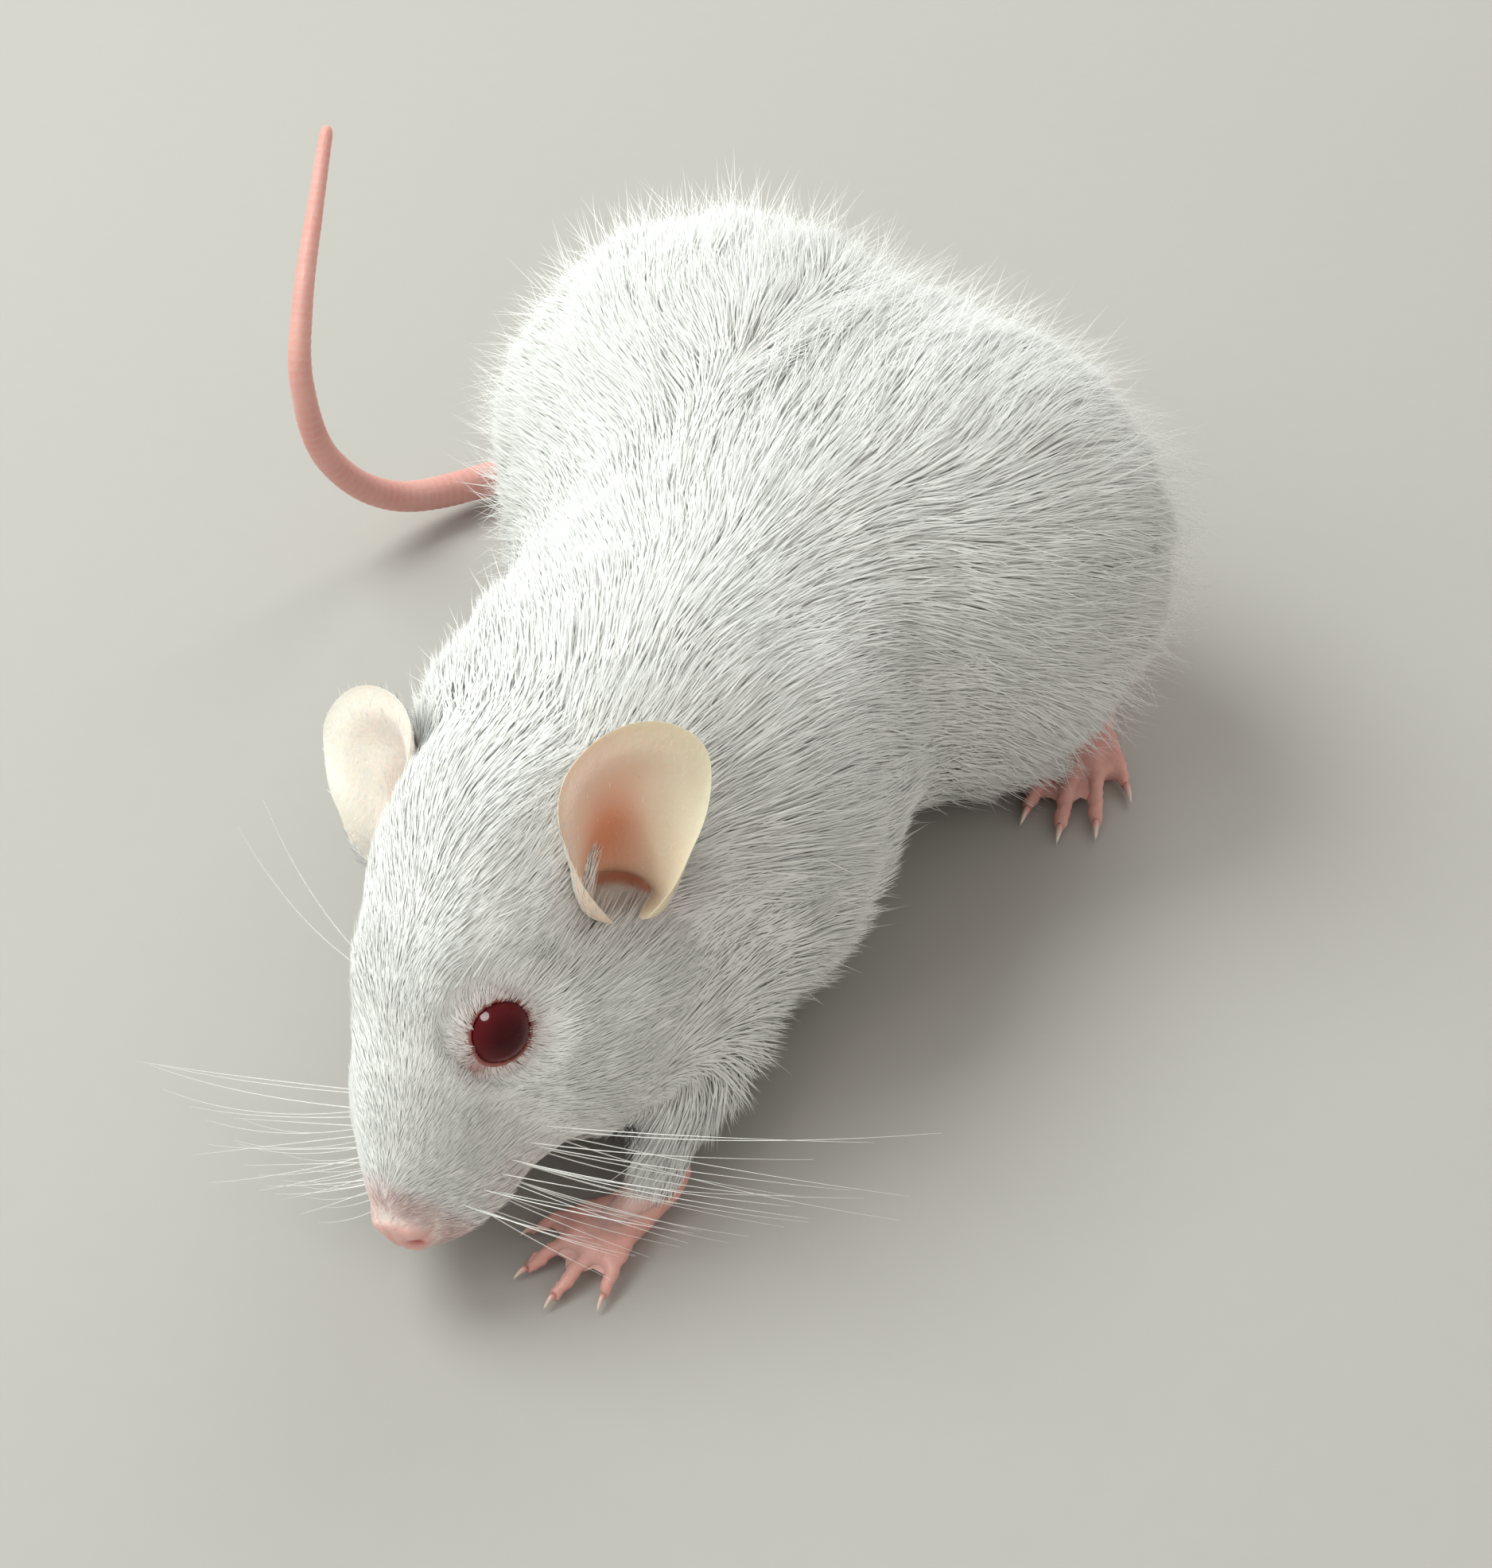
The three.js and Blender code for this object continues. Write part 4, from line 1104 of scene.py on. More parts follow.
def whisker_curves(settings):
    """Roots and paths of the whiskers, in millimetres."""
    rng = np.random.default_rng(SEED + 5)
    paths = []
    for side in SIDES:
        sweep, raised = WHISKER_SWEEP[side]
        for row in range(5):
            for column in range(6 if row < 4 else 4):
                f = 31.0 - 1.7 * column - 0.25 * row
                u = -7.2 - 1.2 * row - 0.28 * column
                out = 4.2 + 0.35 * column - 0.15 * abs(row - 2)
                root = head_point(f, side * out, u)
                length = settings.whisker_length / MM * (0.36 + 0.64 * ((column + 0.6) / 6))
                length *= rng.uniform(0.8, 1.1)
                way = head_direction(sweep * (1 + 0.25 * row) - 0.05 * column + rng.normal() * 0.06, side,
                                     raised - 0.17 * row + rng.normal() * 0.06)
                droop = head_direction(-0.35, side * 0.12, -0.6 + rng.normal() * 0.25)
                t = np.linspace(0, 1, WHISKER_POINTS)[:, None]
                paths.append(root + way * length * (t - 0.06) + droop * length * 0.2 * t**2.2)
    for side in SIDES:  # the few above each eye
        for k in range(2):
            root = head_point(15.5 - k, side * (5.6 + 0.5 * k), 6.4 - k)
            way = head_direction(-0.15 - 0.2 * k, side * 0.75, 0.8)
            bend = head_direction(-1, 0.2 * side, -0.1)
            t = np.linspace(0, 1, WHISKER_POINTS)[:, None]
            paths.append(root + way * 15 * (t - 0.05) + bend * 5 * t**2)
    for path in paths:  # a whisker that would reach the floor is bent up
        path[:, 2] += max(0.0, 1.5 - path[-1, 2]) * np.linspace(0, 1, len(path)) ** 2
        path[:, 2] = np.maximum(path[:, 2], 0.6)
    return paths


def make_whiskers(settings, look):
    """Curves that geometry nodes give a body, then applied as one mesh."""
    s = Shader("whisker_white", Roughness=0.35, Specular_IOR_Level=0.5)
    material = s.feed(Base_Color=s.blend(s.noise(s.place(), 60.0), look.whisker, look.coat_tip))
    curve = bpy.data.curves.new("whiskers", "CURVE")
    curve.dimensions = "3D"
    for path in whisker_curves(settings):
        spline = curve.splines.new("POLY")
        spline.points.add(len(path) - 1)
        spline.points.foreach_set("co", np.c_[path * MM, np.ones(len(path))].astype(np.float32).ravel())
        taper = 1 - 0.9 * np.linspace(0, 1, len(path)) ** 0.8
        spline.points.foreach_set("radius", taper.astype(np.float32))
    source = new_object("whisker_paths", curve)
    tree, sides, width = strand_tree(material)
    modifier = source.modifiers.new("body", "NODES")
    modifier.node_group = tree
    modifier[sides] = WHISKER_SIDES
    modifier[width] = settings.whisker_width / 2
    graph = bpy.context.evaluated_depsgraph_get()
    mesh = bpy.data.meshes.new_from_object(source.evaluated_get(graph))
    bpy.data.objects.remove(source)
    bpy.data.curves.remove(curve)
    mesh.name = "whiskers"
    piece = new_object("whiskers", mesh)
    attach(piece, "root")


# ---------------------------------------------------------------- coat
class Places:
    """Seeded random places on a mesh. density gives how many for each mm2 at its vertices."""

    def __init__(self, mesh, density, seed):
        quads = polygons_of(mesh, 4)
        tris = np.vstack([polygons_of(mesh, 3), quads[:, [0, 1, 2]], quads[:, [0, 2, 3]]])
        points = positions(mesh)
        a, b, c = (points[tris[:, k]] for k in range(3))
        area = np.linalg.norm(np.cross(b - a, c - a), axis=1) / 2
        mass = np.cumsum(area * density[tris].mean(axis=1))
        self.rng = np.random.default_rng(seed)
        total = int(mass[-1])
        pick = np.searchsorted(mass, (np.arange(total) + self.rng.uniform(size=total)) * mass[-1] / total)
        self.corners = tris[np.clip(pick, 0, len(tris) - 1)]
        r1, r2 = np.sqrt(self.rng.uniform(size=total)), self.rng.uniform(size=total)
        self.shares = np.stack([1 - r1, r1 * (1 - r2), r1 * r2], 1)
        self.points = self.take(points)
        self.normals = unit(self.take(vertex_normals(mesh)))

    def take(self, values):
        """Values of the mesh's vertices, read at the places."""
        shares = self.shares if values.ndim == 1 else self.shares[..., None]
        return (values[self.corners] * shares).sum(axis=1)


def stored(mesh, name):
    return read(mesh.attributes[name].data, "value").astype(float)


def coat_flow(points, normals, regions):
    """The lie of the coat: a direction along the skin at each point."""
    x, y, z = points.T
    f, l, u = head_coordinates(points).T
    outward = np.tanh(x / 9)
    side = np.abs(normals[:, 0]) * ramp(0, 12, np.abs(x))
    haunch = ramp(2, 20, y)
    flow = np.stack([0.42 * outward * (1 - 0.4 * side), np.ones(len(x)),
                     -0.12 - 0.5 * side - 0.45 * haunch * side - 0.5 * ramp(0.1, 0.9, normals[:, 1])], axis=1)
    swept = (-HEAD_FORWARD + np.outer(np.tanh(l / 4) * (0.28 + 0.25 * ramp(20, 8, f)), HEAD_LEFT)
             - np.outer(0.45 * ramp(2, -8, u), HEAD_UP))
    mix = regions["head"][:, None]
    flow = flow * (1 - mix) + swept * mix
    low = ramp(13, 9, regions["limb_height"])[:, None]
    flow = flow * (1 - low) + np.array([0, -0.85, -0.5]) * low
    _, away, tail_way = near_tail(points)
    root = (ramp(11, 6, away) * ramp(38, 46, y))[:, None]
    flow = flow * (1 - root) + tail_way * root
    for side in SIDES:  # the hair lies away from the lids all round
        centre, axis, _, _ = eye_frame(side)
        offset = points - centre
        distance = np.linalg.norm(offset, axis=1)
        out = unit(offset - axis * (offset @ axis)[:, None])
        flow += out * (2.2 * ramp(EYE_RADIUS + 3.4, EYE_RADIUS + 0.4, distance))[:, None]
    for line, width in ((BACK_FOLD, 4.5), (SIDE_FOLD, 3.5)):
        distance, out = near_line(points, line)
        flow += out * (0.9 * hump(distance, width) * ramp(25, 34, z))[:, None]
    swirl = waves(points, 22, SEED + 1) * 0.22 + waves(points, 8, SEED + 2) * 0.1
    flow = unit(flow - normals * dot(flow, normals)[:, None])
    turned = np.cross(normals, flow)
    return unit(flow + turned * swirl[:, None]), turned


def locks(roots, spacing, seed):
    """For each root, the root that leads its lock of hair."""
    rng = np.random.default_rng(seed)
    cells = np.floor(roots / spacing + rng.uniform(size=3)).astype(int)
    _, chosen = np.unique(cells, axis=0, return_index=True)
    return chosen[nearest(roots, roots[chosen])]


def gather(tips, normals, leader, pull):
    """Draws the tips of each lock together, as combed fur parts into locks."""
    alike = ramp(0.5, 0.85, dot(normals, normals[leader]))
    return tips + (tips[leader] - tips) * (pull * alike)[:, None]


def coat_uv(points, on_head):
    """Place on an unwrap of the skin: round the body's axis, and along it."""
    f, l, u = head_coordinates(points).T
    x, y, z = points.T
    around_body = np.arctan2(x + 0.5, z - 20) / (2 * math.pi) + 0.5
    around_head = np.arctan2(l, u + 4) / (2 * math.pi) + 0.5
    reach_body = np.hypot(x + 0.5, z - 20)
    reach_head = np.hypot(l, u + 4)
    body_run = y - 0.7 * reach_body * ramp(10, 40, y)
    head_run = -f + 0.7 * reach_head
    return np.where(on_head, around_head, around_body), np.where(on_head, head_run, body_run)


def hair_paths(start, flow, normals, length, steps):
    """Paths that set out from the start, each step at an angle off the skin and for a share of the length."""
    path = [start]
    for angle, share in steps:
        way = flow * np.cos(angle)[:, None] + normals * np.sin(angle)[:, None]
        path.append(path[-1] + way * (length * share)[:, None])
    return path


def tuft_piece(name, paths, normals, width, uv, tone, pink, material):
    """One mesh of tufts: closed spindles from a root through a widest place to a tip."""
    count = len(paths)
    way = unit(paths[:, 2] - paths[:, 0])
    side = unit(np.cross(normals, way))
    up = np.cross(way, side)
    angle = np.arange(3) * 2 * math.pi / 3 + math.pi / 2
    out = (side[:, None] * np.cos(angle)[None, :, None] + 0.6 * up[:, None] * np.sin(angle)[None, :, None])
    widest = paths[:, 1:2] + out * width[:, None, None]
    vertices = np.concatenate([paths[:, :1], widest, paths[:, 2:]], axis=1)
    level = normals[:, None]
    shade = unit(np.concatenate([level, 0.85 * level + 0.35 * out, level], axis=1))
    flat = vertices.reshape(-1, 3)
    flat[:, 2] = np.maximum(flat[:, 2], LOWEST)
    s = np.arange(3)
    t = (s + 1) % 3
    faces = np.vstack([np.stack([np.zeros(3, int), t + 1, s + 1], 1),
                       np.stack([s + 1, t + 1, np.full(3, 4)], 1)])
    faces = (faces[None] + (np.arange(count) * 5)[:, None, None]).reshape(-1, 3)
    mesh = new_mesh(name, flat, [faces])
    set_values(mesh, "custom_normal", shade.reshape(-1, 3), "FLOAT_VECTOR")
    set_values(mesh, "along", np.tile([0, *[TUFT_WIDEST] * 3, 1], count))
    set_values(mesh, "tone", np.repeat(tone, 5))
    set_values(mesh, "blush_and_furrow_shade", np.repeat(pink, 5))
    local = np.array([[0.5, 0], [0, TUFT_WIDEST], [0.5, TUFT_WIDEST], [1, TUFT_WIDEST], [0.5, 1]])
    place = (uv[:, None, :] * PATCH_SPREAD + local[None] * PATCH).reshape(-1, 2)
    layer = mesh.uv_layers.new(name="OFBake")
    layer.uv.foreach_set("vector", place[faces.ravel()].astype(np.float32).ravel())
    mesh.materials.append(material)
    piece = new_object(name, mesh)
    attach(piece, "root")


def coat_density(points, regions, furred, fuzz, settings):
    """Tufts for each square millimetre."""
    f = head_coordinates(points)[:, 0]
    face = np.interp(f, [-10, 0, 10, 20, 30, 34, 35.5], [1.0, 1.4, 2.2, 2.9, 3.3, 3.3, 3.0])
    density = settings.density * (1 + (face - 1) * regions["head"])
    density *= np.clip(1 - regions["bare"] * 1.05, 0, 1) * (1 - regions["tail"]) * furred
    density *= 1 - 0.65 * ramp(3, 0.5, points[:, 2]) * (1 - regions["head"])
    density *= 1 - 0.45 * ramp(0.2, 0.8, -vertical(points)) * (1 - regions["head"])
    return density + fuzz * settings.density * 0.5


def vertical(points):
    """Roughly how far the surface faces up: it faces down below the lower flank."""
    return np.clip((points[:, 2] - 8) / 8, -1, 1)


def tuft_lengths(roots, regions, on_ear, fuzz, settings, rng):
    """Long on the body, short on the face and feet, and a fine down on the ears."""
    depth = coat_depth(roots, regions, settings.coat_depth / MM)
    full = settings.tuft_length / MM
    length = np.interp(depth, [0.0, 0.3, 0.7, 1.1, 1.7, 2.5], [0.7, 1.2, 2.1, 3.0, 4.8, full])
    length *= rng.uniform(0.75, 1.15, len(roots)) * (1 + 0.08 * waves(roots, 9, SEED + 3))
    f, l, u = head_coordinates(roots).T
    length *= 1 - 0.5 * (pad_creases(np.abs(f), np.abs(l), -np.abs(u)) * regions["head"])
    return np.where(on_ear > 0.5, rng.uniform(0.5, 1.0, len(roots)) * (1 + 0.8 * fuzz), length)


def tuft_lifts(roots, head, on_ear, near_lid, rng):
    """The angle at which each tuft leaves the skin: flatter on the head and where it meets the floor."""
    lift = 0.32 + 0.07 * waves(roots, 5, SEED + 4) + rng.normal(size=len(roots)) * 0.07
    lift = lift * (1 - 0.54 * head) * ramp(-1.5, 4, roots[:, 2] + 3 * head)
    return np.clip(np.where(on_ear > 0.5, 0.12, lift) + 0.1 * near_lid, 0.06, 0.8)


def gather_in_locks(roots, normals, middle, tip, head, on_ear, settings):
    """Draws tufts together into large locks and small ones. Also gives the leader of each small lock."""
    spacing = settings.clump_size / MM
    big, small = locks(roots, spacing * 2.2, SEED + 7), locks(roots, spacing, SEED + 8)
    pull = settings.clumping * (0.65 + 0.5 * ramp(42, 18, roots[:, 2]))
    pull *= 1 + 0.4 * waves(roots, 14, SEED + 6)
    pull *= (1 - 0.6 * head) * (on_ear < 0.5)
    moved = gather(tip, normals, big, np.clip(pull * 0.45, 0, 0.4))
    moved = gather(moved, normals, small, np.clip(pull, 0, 0.75))
    return middle + (moved - tip) * 0.3, moved, small


def make_coat(settings, look):
    """Tufts over the whole skin, in pieces that each take a length of the head or of the body."""
    mesh = bpy.data.objects["skin"].data
    points = positions(mesh)
    density = coat_density(points, find_regions(points), stored(mesh, "furred"), stored(mesh, "fuzz"),
                           settings)
    places = Places(mesh, density, SEED)
    roots, normals, rng = places.points, places.normals, places.rng
    on_ear, fuzz = places.take(stored(mesh, "ear")), places.take(stored(mesh, "fuzz"))
    regions = find_regions(roots)
    head = regions["head"]
    flow, turned = coat_flow(roots, normals, regions)
    f, l, _ = head_coordinates(roots).T
    for side in SIDES:
        up = ear_frame(side)[1]
        mine = (on_ear > 0.5) & (side * l > 0)
        flow[mine] = unit(up - normals[mine] * (normals[mine] @ up)[:, None])
    flow = unit(flow + turned * (rng.normal(size=len(roots)) * 0.15)[:, None])

    length = tuft_lengths(roots, regions, on_ear, fuzz, settings, rng)
    near_lid = np.clip(regions["socket"] * 1.6, 0, 1)
    near_eye = ramp(EYE_RADIUS + 5.5, EYE_RADIUS + 2.0, eye_distance(roots))
    lift = tuft_lifts(roots, head, on_ear, near_lid, rng)
    start = roots - normals * (0.02 + 0.03 * length)[:, None]
    # Tufts near an eye start further back, or they would leave a bald ring round it.
    start -= flow * (length * np.maximum(0.42 * near_lid, 0.34 * near_eye))[:, None]
    _, middle, tip = hair_paths(start, flow, normals, length, ((lift * 1.5, 0.42), (lift * 0.55, 0.58)))
    middle, tip, leader = gather_in_locks(roots, normals, middle, tip, head, on_ear, settings)
    keep = clear_of_eyes(np.stack([roots, middle, tip], 1)) & ~in_ear(roots, 2.8, on_ear)
    short = np.where(in_ear(tip, 4.0, on_ear), 0.45, 1.0)[:, None]
    middle, tip = start + (middle - start) * short, start + (tip - start) * short
    keep &= tip[:, 2] > -1.5
    paths = np.stack([start, middle, tip], 1)

    width = np.interp(length, [0.5, 1.2, 3, 6], [0.028, 0.05, 0.066, settings.tuft_width / MM / 2])
    width *= rng.uniform(0.7, 1.25, len(roots))
    lock_tone = np.random.default_rng(SEED + 9).uniform(size=len(roots))
    tone = 0.55 * lock_tone[leader] + 0.45 * rng.uniform(size=len(roots))
    pink = blush_and_furrow_shade(roots, regions)
    material = coat_material(look, "coat")
    front = f > -2
    around, run = coat_uv(roots, front)
    for label, chosen in (("head_coat", front), ("body_coat", ~front)):
        index = np.flatnonzero(chosen & keep)
        index = index[np.argsort(run[index])]
        pieces = max(1, math.ceil(len(index) / PIECE_TUFTS))
        for k, part in enumerate(np.array_split(index, pieces)):
            low, high = run[part].min(), run[part].max()
            uv = np.stack([around[part], (run[part] - low) / (high - low)], 1)
            tuft_piece(f"{label}_{k + 1}", paths[part], normals[part], width[part], uv, tone[part],
                       pink[part], material)


def blush_and_furrow_shade(points, regions):
    """Where pink skin shows through the hair, from 0 to 1. In the whisker pads' furrows it is pink skin and
    painted shade.
    """
    f, l, u = head_coordinates(points).T
    a = np.abs(l)
    pad = bell((f - 27) / 3.6, (a - 4.8) / 2.4, (u + 10.3) / 2.6)
    # the furrows of the whisker pads: pink skin darkened as painted shade
    pink = 1.1 * pad_creases(f, a, u) + 0.22 * pad + 0.7 * ramp(32.0, 34.2, f)
    pink = pink + 0.25 * ramp(22, 27, f) * ramp(-11, -14, u)
    pink = pink * regions["head"] + 0.3 * regions["socket"]
    for side in SIDES:
        centre, axis, forward, _ = eye_frame(side)
        corner = centre + forward * 4.0 + axis * 1.2
        pink += hump(np.linalg.norm(points - corner, axis=1), 1.0)
        root, up, _, facing = ear_frame(side)
        pink += 0.45 * hump(np.linalg.norm(points - root - up * 1.5 - facing * 3, axis=1), 3.0)
    return np.clip(pink, 0, 1)


def clear_of_eyes(paths):
    """False for tufts that would lie over an eye."""
    fine = np.ones(len(paths), bool)
    for side in SIDES:
        centre, axis, forward, over = eye_frame(side)
        for k in range(paths.shape[1]):
            offset = paths[:, k] - centre
            deep = offset @ axis
            across = offset - deep[:, None] * axis
            edge = EYE_RADIUS * np.sin(lid_edge(np.arctan2(across @ over, across @ forward), side))
            edge += 0.2 if k == 0 else -0.12  # hair may hang a little over the rim but not root there
            fine &= ~((np.linalg.norm(across, axis=1) < edge) & (deep > -2) & (deep < 6))
    return fine


def in_ear(points, low, on_ear):
    """True for points in front of an ear's leaf, from a height over its root."""
    inside = np.zeros(len(points), bool)
    for side in SIDES:
        h, a, g, v = ear_coordinates(points, side)
        half, rim = ear_cup(v)
        before = (g > ear_wall(v, a) - ear_pull(v) - 1.0) & (g < np.maximum(rim, 2) + 1.5)
        inside |= (h > low) & (h < EAR_LENGTH - 1) & (np.abs(a) < half) & before
    return inside & (on_ear < 0.5)


def make_guard_hairs(settings, look):
    """Long fine hairs that stand out past the coat."""
    mesh = bpy.data.objects["skin"].data
    points = positions(mesh)
    regions = find_regions(points)
    density = settings.guard_density * (0.35 + 0.65 * ramp(-10, 25, points[:, 1])) * (1 - regions["head"])
    density *= (1 - regions["bare"]) * ramp(5, 12, points[:, 2]) * stored(mesh, "furred")
    places = Places(mesh, density, SEED + 20)
    roots, normals, rng = places.points, places.normals, places.rng
    flow, turned = coat_flow(roots, normals, find_regions(roots))
    flow = unit(flow + turned * (rng.normal(size=len(roots)) * 0.3)[:, None])
    length = settings.guard_length / MM * rng.uniform(0.65, 1.1, len(roots))
    length *= 0.7 + 0.3 * ramp(-20, 20, roots[:, 1])
    lift = np.clip(0.5 + rng.normal(size=len(roots)) * 0.13, 0.2, 0.95)
    path = hair_paths(roots - normals * 0.2, flow, normals, length, ((lift * 1.15, 0.5), (lift * 0.75, 0.5)))
    width = settings.guard_width / MM / 2 * rng.uniform(0.8, 1.2, len(roots))
    around, run = coat_uv(roots, np.zeros(len(roots), bool))
    uv = np.stack([around, (run - run.min()) / (run.max() - run.min())], 1)
    tuft_piece("guard_hairs", np.stack(path, 1), normals, width, uv, rng.uniform(size=len(roots)),
               np.zeros(len(roots)), coat_material(look, "guard_hair"))


# ---------------------------------------------------------------- settings, operators and panel
def size_property(name, default, text, high=1.0):
    return FloatProperty(name=name, default=default, min=0.0, max=high, unit="LENGTH", subtype="DISTANCE",
                         precision=5, description=text)


def tint_property(name, default, text):
    return FloatVectorProperty(name=name, default=default, size=3, min=0.0, max=1.0, subtype="COLOR",
                               description=text)


class WhiteRatShape(bpy.types.PropertyGroup):
    grain: size_property("Skin Grain", 0.00078, "Size of the skin mesh's faces")
    coat_depth: size_property("Coat Depth", 0.0023, "How deep the coat stands over the skin of the body")
    tuft_length: size_property("Tuft Length", 0.008, "Length of the body's tufts")
    tuft_width: size_property("Tuft Width", 0.0002, "Width of the body's tufts")
    clump_size: size_property("Lock Size", 0.0017, "Spacing of the locks that tufts gather into")
    guard_length: size_property("Guard Hair Length", 0.0115, "Length of the long outer hairs")
    guard_width: size_property("Guard Hair Width", 0.00009, "Width of the long outer hairs")
    whisker_length: size_property("Whisker Length", 0.034, "Length of the longest whiskers")
    whisker_width: size_property("Whisker Width", 0.00016, "Width of a whisker at its root")
    density: FloatProperty(name="Tuft Density", default=12.0, min=0.1, max=20,
                           description="Tufts on each square millimetre of the body")
    guard_density: FloatProperty(name="Guard Hair Density", default=0.9, min=0.0, max=5,
                                 description="Long hairs on each square millimetre")
    clumping: FloatProperty(name="Locks", default=0.30, min=0.0, max=1.0, subtype="FACTOR",
                            description="How far tufts gather into locks")


class WhiteRatLook(bpy.types.PropertyGroup):
    coat_tip: tint_property("Coat", (0.96, 0.96, 0.945), "Colour of the hair")
    coat_shade: tint_property("Coat Shade", (0.95, 0.94, 0.915), "Colour of the hair near its root")
    coat_root: tint_property("Coat Root", (0.93, 0.91, 0.875), "Darkest colour of the hair's root")
    under_coat: tint_property("Under Coat", (0.92, 0.90, 0.87), "Colour of the skin under the coat")
    bare_skin: tint_property("Bare Skin", (0.68, 0.285, 0.25), "Colour of the bare skin")
    bare_light: tint_property("Bare Skin Light", (0.80, 0.47, 0.415), "Paler patches of the bare skin")
    # Flushed skin where the hair is thin. In the whisker pads' furrows it is pink skin darkened as painted
    # shade.
    flush_skin: tint_property("Flushed Skin", (0.84, 0.60, 0.54), "Colour of skin seen through thin hair")
    # Thin hair over pink skin. In the whisker pads' furrows it is also painted shade.
    flush_hair_and_furrow_shade: tint_property("Flushed Hair", (0.76, 0.46, 0.44), "Colour of thin hair over pink skin")
    # The lids' colour: pink skin darkened with painted shade at their rims.
    lid_skin: tint_property("Lids", (0.36, 0.12, 0.105), "Colour of the rims of the lids")
    ear_inside: tint_property("Ear Inside", (0.76, 0.33, 0.20), "Colour deep in the ears")
    ear_notch: tint_property("Ear Notch", (0.66, 0.28, 0.18), "Colour at the bottom of the ears' hollows")
    ear_front: tint_property("Ear Front", (0.86, 0.66, 0.54), "Colour of the ears' front edges")
    ear_rim: tint_property("Ear Rim", (0.80, 0.71, 0.55), "Colour of the ears' rims")
    nose_skin: tint_property("Nose", (0.80, 0.40, 0.38), "Colour of the nose")
    nostril: tint_property("Nostrils", (0.50, 0.07, 0.07), "Colour in the nostrils")
    tail_ring: tint_property("Tail Rings", (0.74, 0.46, 0.43), "Colour of the tail's raised rings")
    eye_centre: tint_property("Eye Centre", (0.042, 0.0008, 0.002), "Colour at the middle of the eyes")
    eye_edge: tint_property("Eye Edge", (0.10, 0.004, 0.008), "Colour at the rims of the eyes")
    claw: tint_property("Claws", (0.85, 0.80, 0.72), "Colour of the claws")
    whisker: tint_property("Whiskers", (0.88, 0.88, 0.86), "Colour of the whiskers")
    floor: tint_property("Floor", (0.44, 0.42, 0.40), "Colour of the floor")


class WhiteRatOperator:
    """Shared by the operators of this panel."""

    bl_options = {"REGISTER", "UNDO"}

    @property
    def shape(self):
        return bpy.context.scene.white_rat_shape

    @property
    def look(self):
        return bpy.context.scene.white_rat_look


class WHITERAT_OT_skin(WhiteRatOperator, bpy.types.Operator):
    """Makes the skin of the whole body with its ears, lids, feet and tail"""

    bl_idname = "white_rat.skin"
    bl_label = "Skin"

    def execute(self, context):
        make_skin(self.shape, self.look)
        return {"FINISHED"}


class WHITERAT_OT_eyes(WhiteRatOperator, bpy.types.Operator):
    """Makes the two eyes"""

    bl_idname = "white_rat.eyes"
    bl_label = "Eyes"

    def execute(self, context):
        make_eyes(self.look)
        return {"FINISHED"}


class WHITERAT_OT_claws(WhiteRatOperator, bpy.types.Operator):
    """Makes a claw for every toe"""

    bl_idname = "white_rat.claws"
    bl_label = "Claws"

    def execute(self, context):
        make_claws(self.look)
        return {"FINISHED"}


class WHITERAT_OT_whiskers(WhiteRatOperator, bpy.types.Operator):
    """Makes the whiskers of the muzzle and brow"""

    bl_idname = "white_rat.whiskers"
    bl_label = "Whiskers"

    def execute(self, context):
        make_whiskers(self.shape, self.look)
        return {"FINISHED"}


class WHITERAT_OT_coat(WhiteRatOperator, bpy.types.Operator):
    """Covers the skin with tufts that follow the lie of the coat"""

    bl_idname = "white_rat.coat"
    bl_label = "Coat"

    def execute(self, context):
        make_coat(self.shape, self.look)
        make_guard_hairs(self.shape, self.look)
        return {"FINISHED"}


class WHITERAT_OT_stage(WhiteRatOperator, bpy.types.Operator):
    """Makes the floor, the lights and the camera"""

    bl_idname = "white_rat.stage"
    bl_label = "Stage"

    def execute(self, context):
        make_stage(self.look)
        return {"FINISHED"}


def area_light(name, place, target, size, power, tint, glints):
    """A round soft lamp aimed at a target. Only one that glints shows in the eyes."""
    light = bpy.data.lights.new(name, "AREA")
    light.shape = "DISK"
    light.size = size
    light.energy = power
    light.color = tint
    lamp = new_object(name, light)
    lamp.location = place
    lamp.visible_glossy = glints
    lamp.rotation_mode = "QUATERNION"
    lamp.rotation_quaternion = (Vector(target) - Vector(place)).to_track_quat("-Z", "Y")
    return lamp


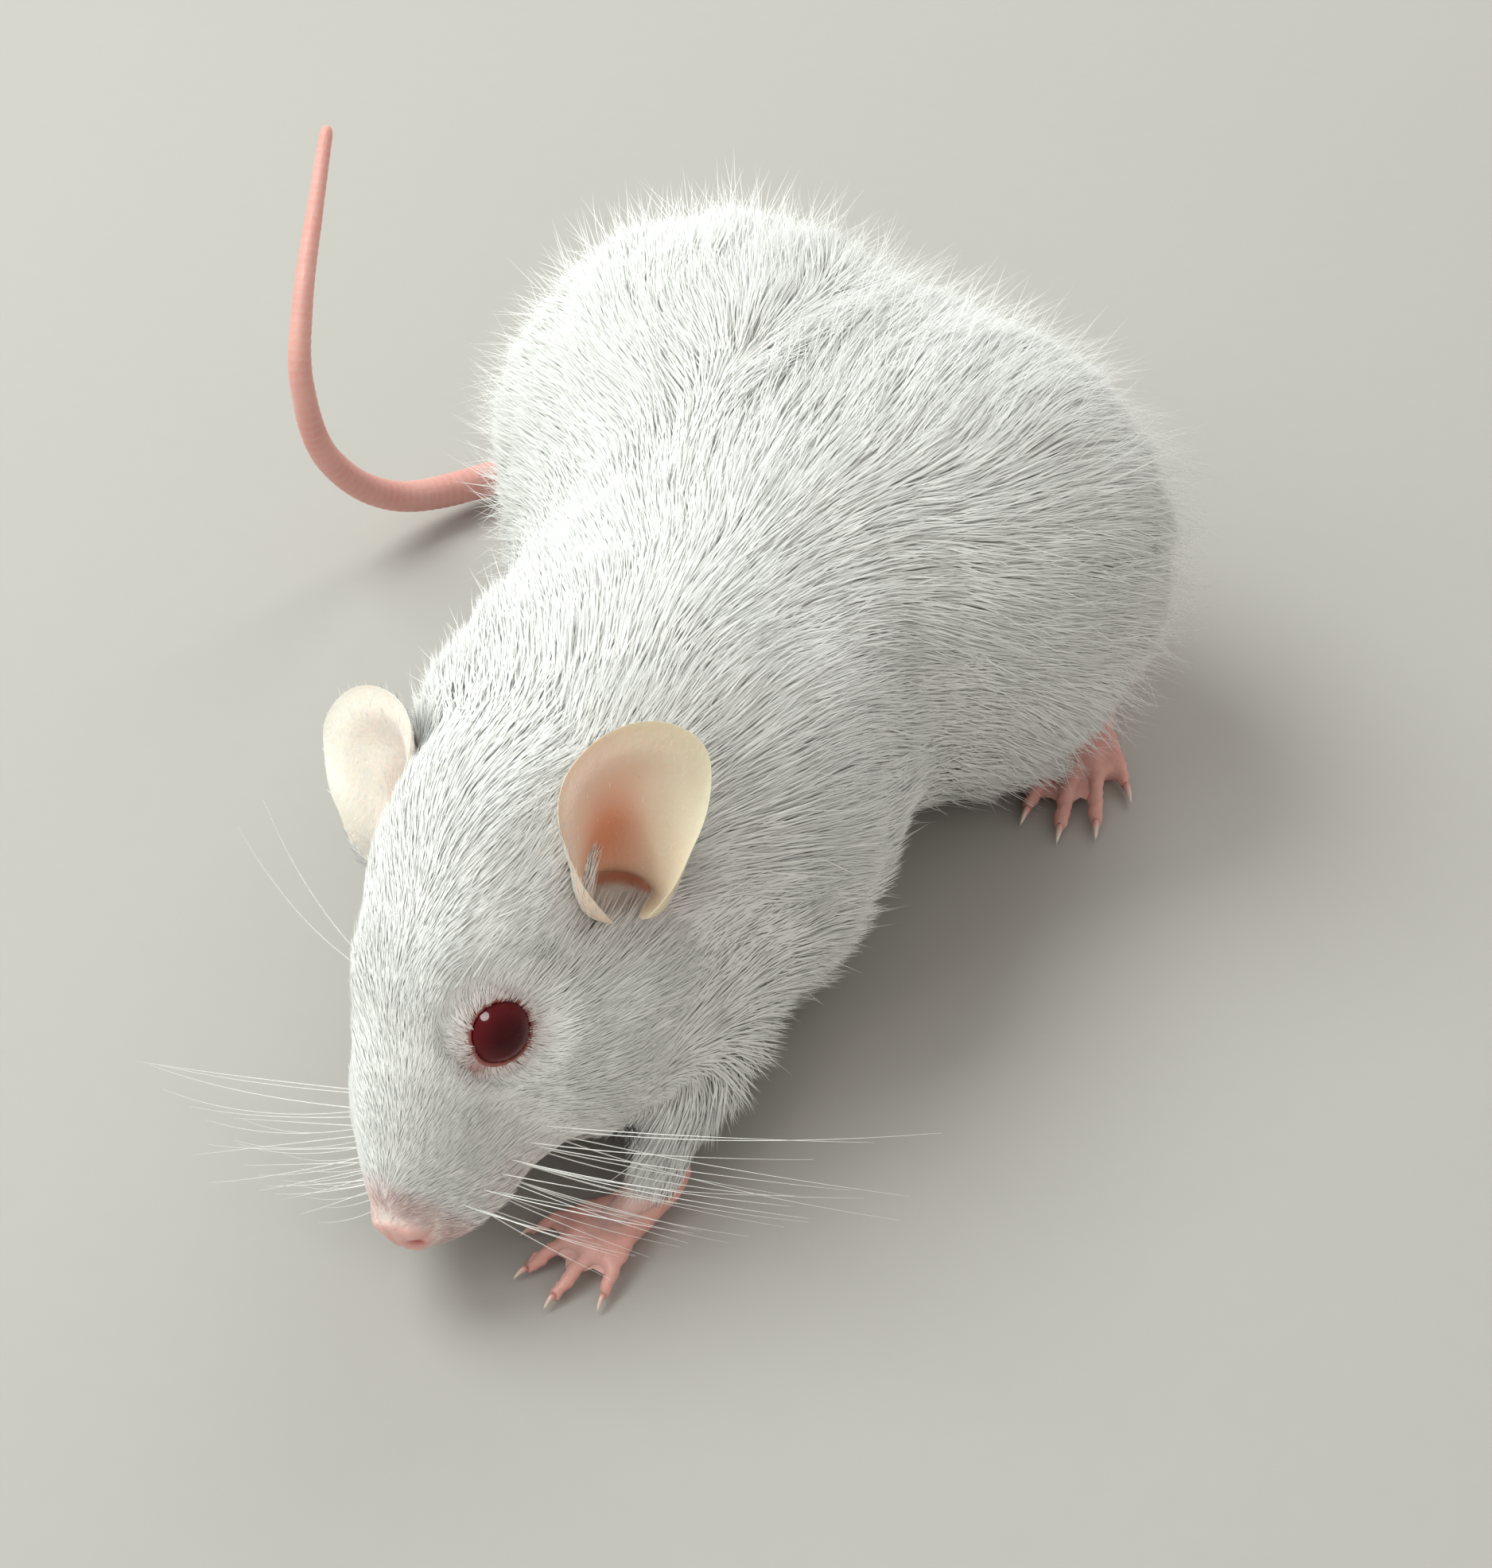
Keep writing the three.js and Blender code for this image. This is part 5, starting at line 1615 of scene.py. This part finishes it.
def make_stage(look):
    """A plain floor, soft lamps, and the camera in front of the animal, to its left and above."""
    corners = FLOOR_HALF * np.array([[-1, -1, 0], [1, -1, 0], [1, 1, 0], [-1, 1, 0]]) / MM
    mesh = new_mesh("floor", corners, [np.array([[0, 1, 2, 3]])], smooth=False)
    mesh.materials.append(floor_material(look))
    new_object("floor", mesh)
    world = bpy.data.worlds.new("soft_light")
    world.use_nodes = True
    world.node_tree.nodes["Background"].inputs[0].default_value = (0.93, 0.92, 0.86, 1)
    world.node_tree.nodes["Background"].inputs[1].default_value = 0.58
    bpy.context.scene.world = world
    middle = (0, 0, 0.02)
    area_light("key", (-0.43, 0.0, 0.6), middle, 0.46, 3.9, (0.93, 1.0, 0.95), glints=False)
    area_light("front", (-0.35, -0.45, 0.55), middle, 0.5, 1.5, (0.94, 1.0, 0.95), glints=False)
    face = (0.0, -0.055, 0.03)
    glint = area_light("glint", (-0.26, -0.23, 0.65), face, 0.34, 6.0, (1.0, 1.0, 1.0), glints=True)
    glint.visible_diffuse = False  # it lights nothing, and only shines back from the eyes
    area_light("fill", (0.6, -0.45, 0.3), middle, 0.7, 0.35, (1.0, 0.86, 0.72), glints=False)
    area_light("back", (-0.05, 0.6, 0.45), middle, 0.4, 1.6, (0.97, 1.0, 0.99), glints=False)
    camera = bpy.data.cameras.new("camera")
    camera.sensor_width = SENSOR
    camera.lens = FOCAL_ROWS / PICTURE_ROWS * SENSOR
    camera.clip_start, camera.clip_end = 0.01, 10
    view = new_object("camera", camera)
    view.location = CAMERA_PLACE
    level = math.cos(CAMERA_DIP)
    ahead = Vector((-math.sin(CAMERA_AZIMUTH) * level, math.cos(CAMERA_AZIMUTH) * level,
                    -math.sin(CAMERA_DIP)))
    view.rotation_mode = "QUATERNION"
    view.rotation_quaternion = ahead.to_track_quat("-Z", "Y")
    bpy.context.scene.camera = view
    bpy.context.scene.view_settings.view_transform = "Standard"


class WHITERAT_PT_panel(bpy.types.Panel):
    """Lists the pieces and their settings"""

    bl_idname = "WHITERAT_PT_panel"
    bl_label = "White Rat"
    bl_space_type = "VIEW_3D"
    bl_region_type = "UI"
    bl_category = "White Rat"

    def draw(self, context):
        for operator in OPERATORS:
            self.layout.operator(operator.bl_idname)
        for group in (context.scene.white_rat_shape, context.scene.white_rat_look):
            box = self.layout.box()
            for name in group.__annotations__:
                box.prop(group, name)


OPERATORS = (WHITERAT_OT_skin, WHITERAT_OT_eyes, WHITERAT_OT_claws, WHITERAT_OT_whiskers, WHITERAT_OT_coat,
             WHITERAT_OT_stage)
CLASSES = (WhiteRatShape, WhiteRatLook, *OPERATORS, WHITERAT_PT_panel)


def register():
    for item in CLASSES:
        bpy.utils.register_class(item)
    bpy.types.Scene.white_rat_shape = PointerProperty(type=WhiteRatShape)
    bpy.types.Scene.white_rat_look = PointerProperty(type=WhiteRatLook)


def unregister():
    del bpy.types.Scene.white_rat_look
    del bpy.types.Scene.white_rat_shape
    for item in reversed(CLASSES):
        bpy.utils.unregister_class(item)


def main():
    register()
    for operator in OPERATORS:
        group, name = operator.bl_idname.split(".")
        getattr(getattr(bpy.ops, group), name)()
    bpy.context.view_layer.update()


if __name__ == "__main__":
    main()
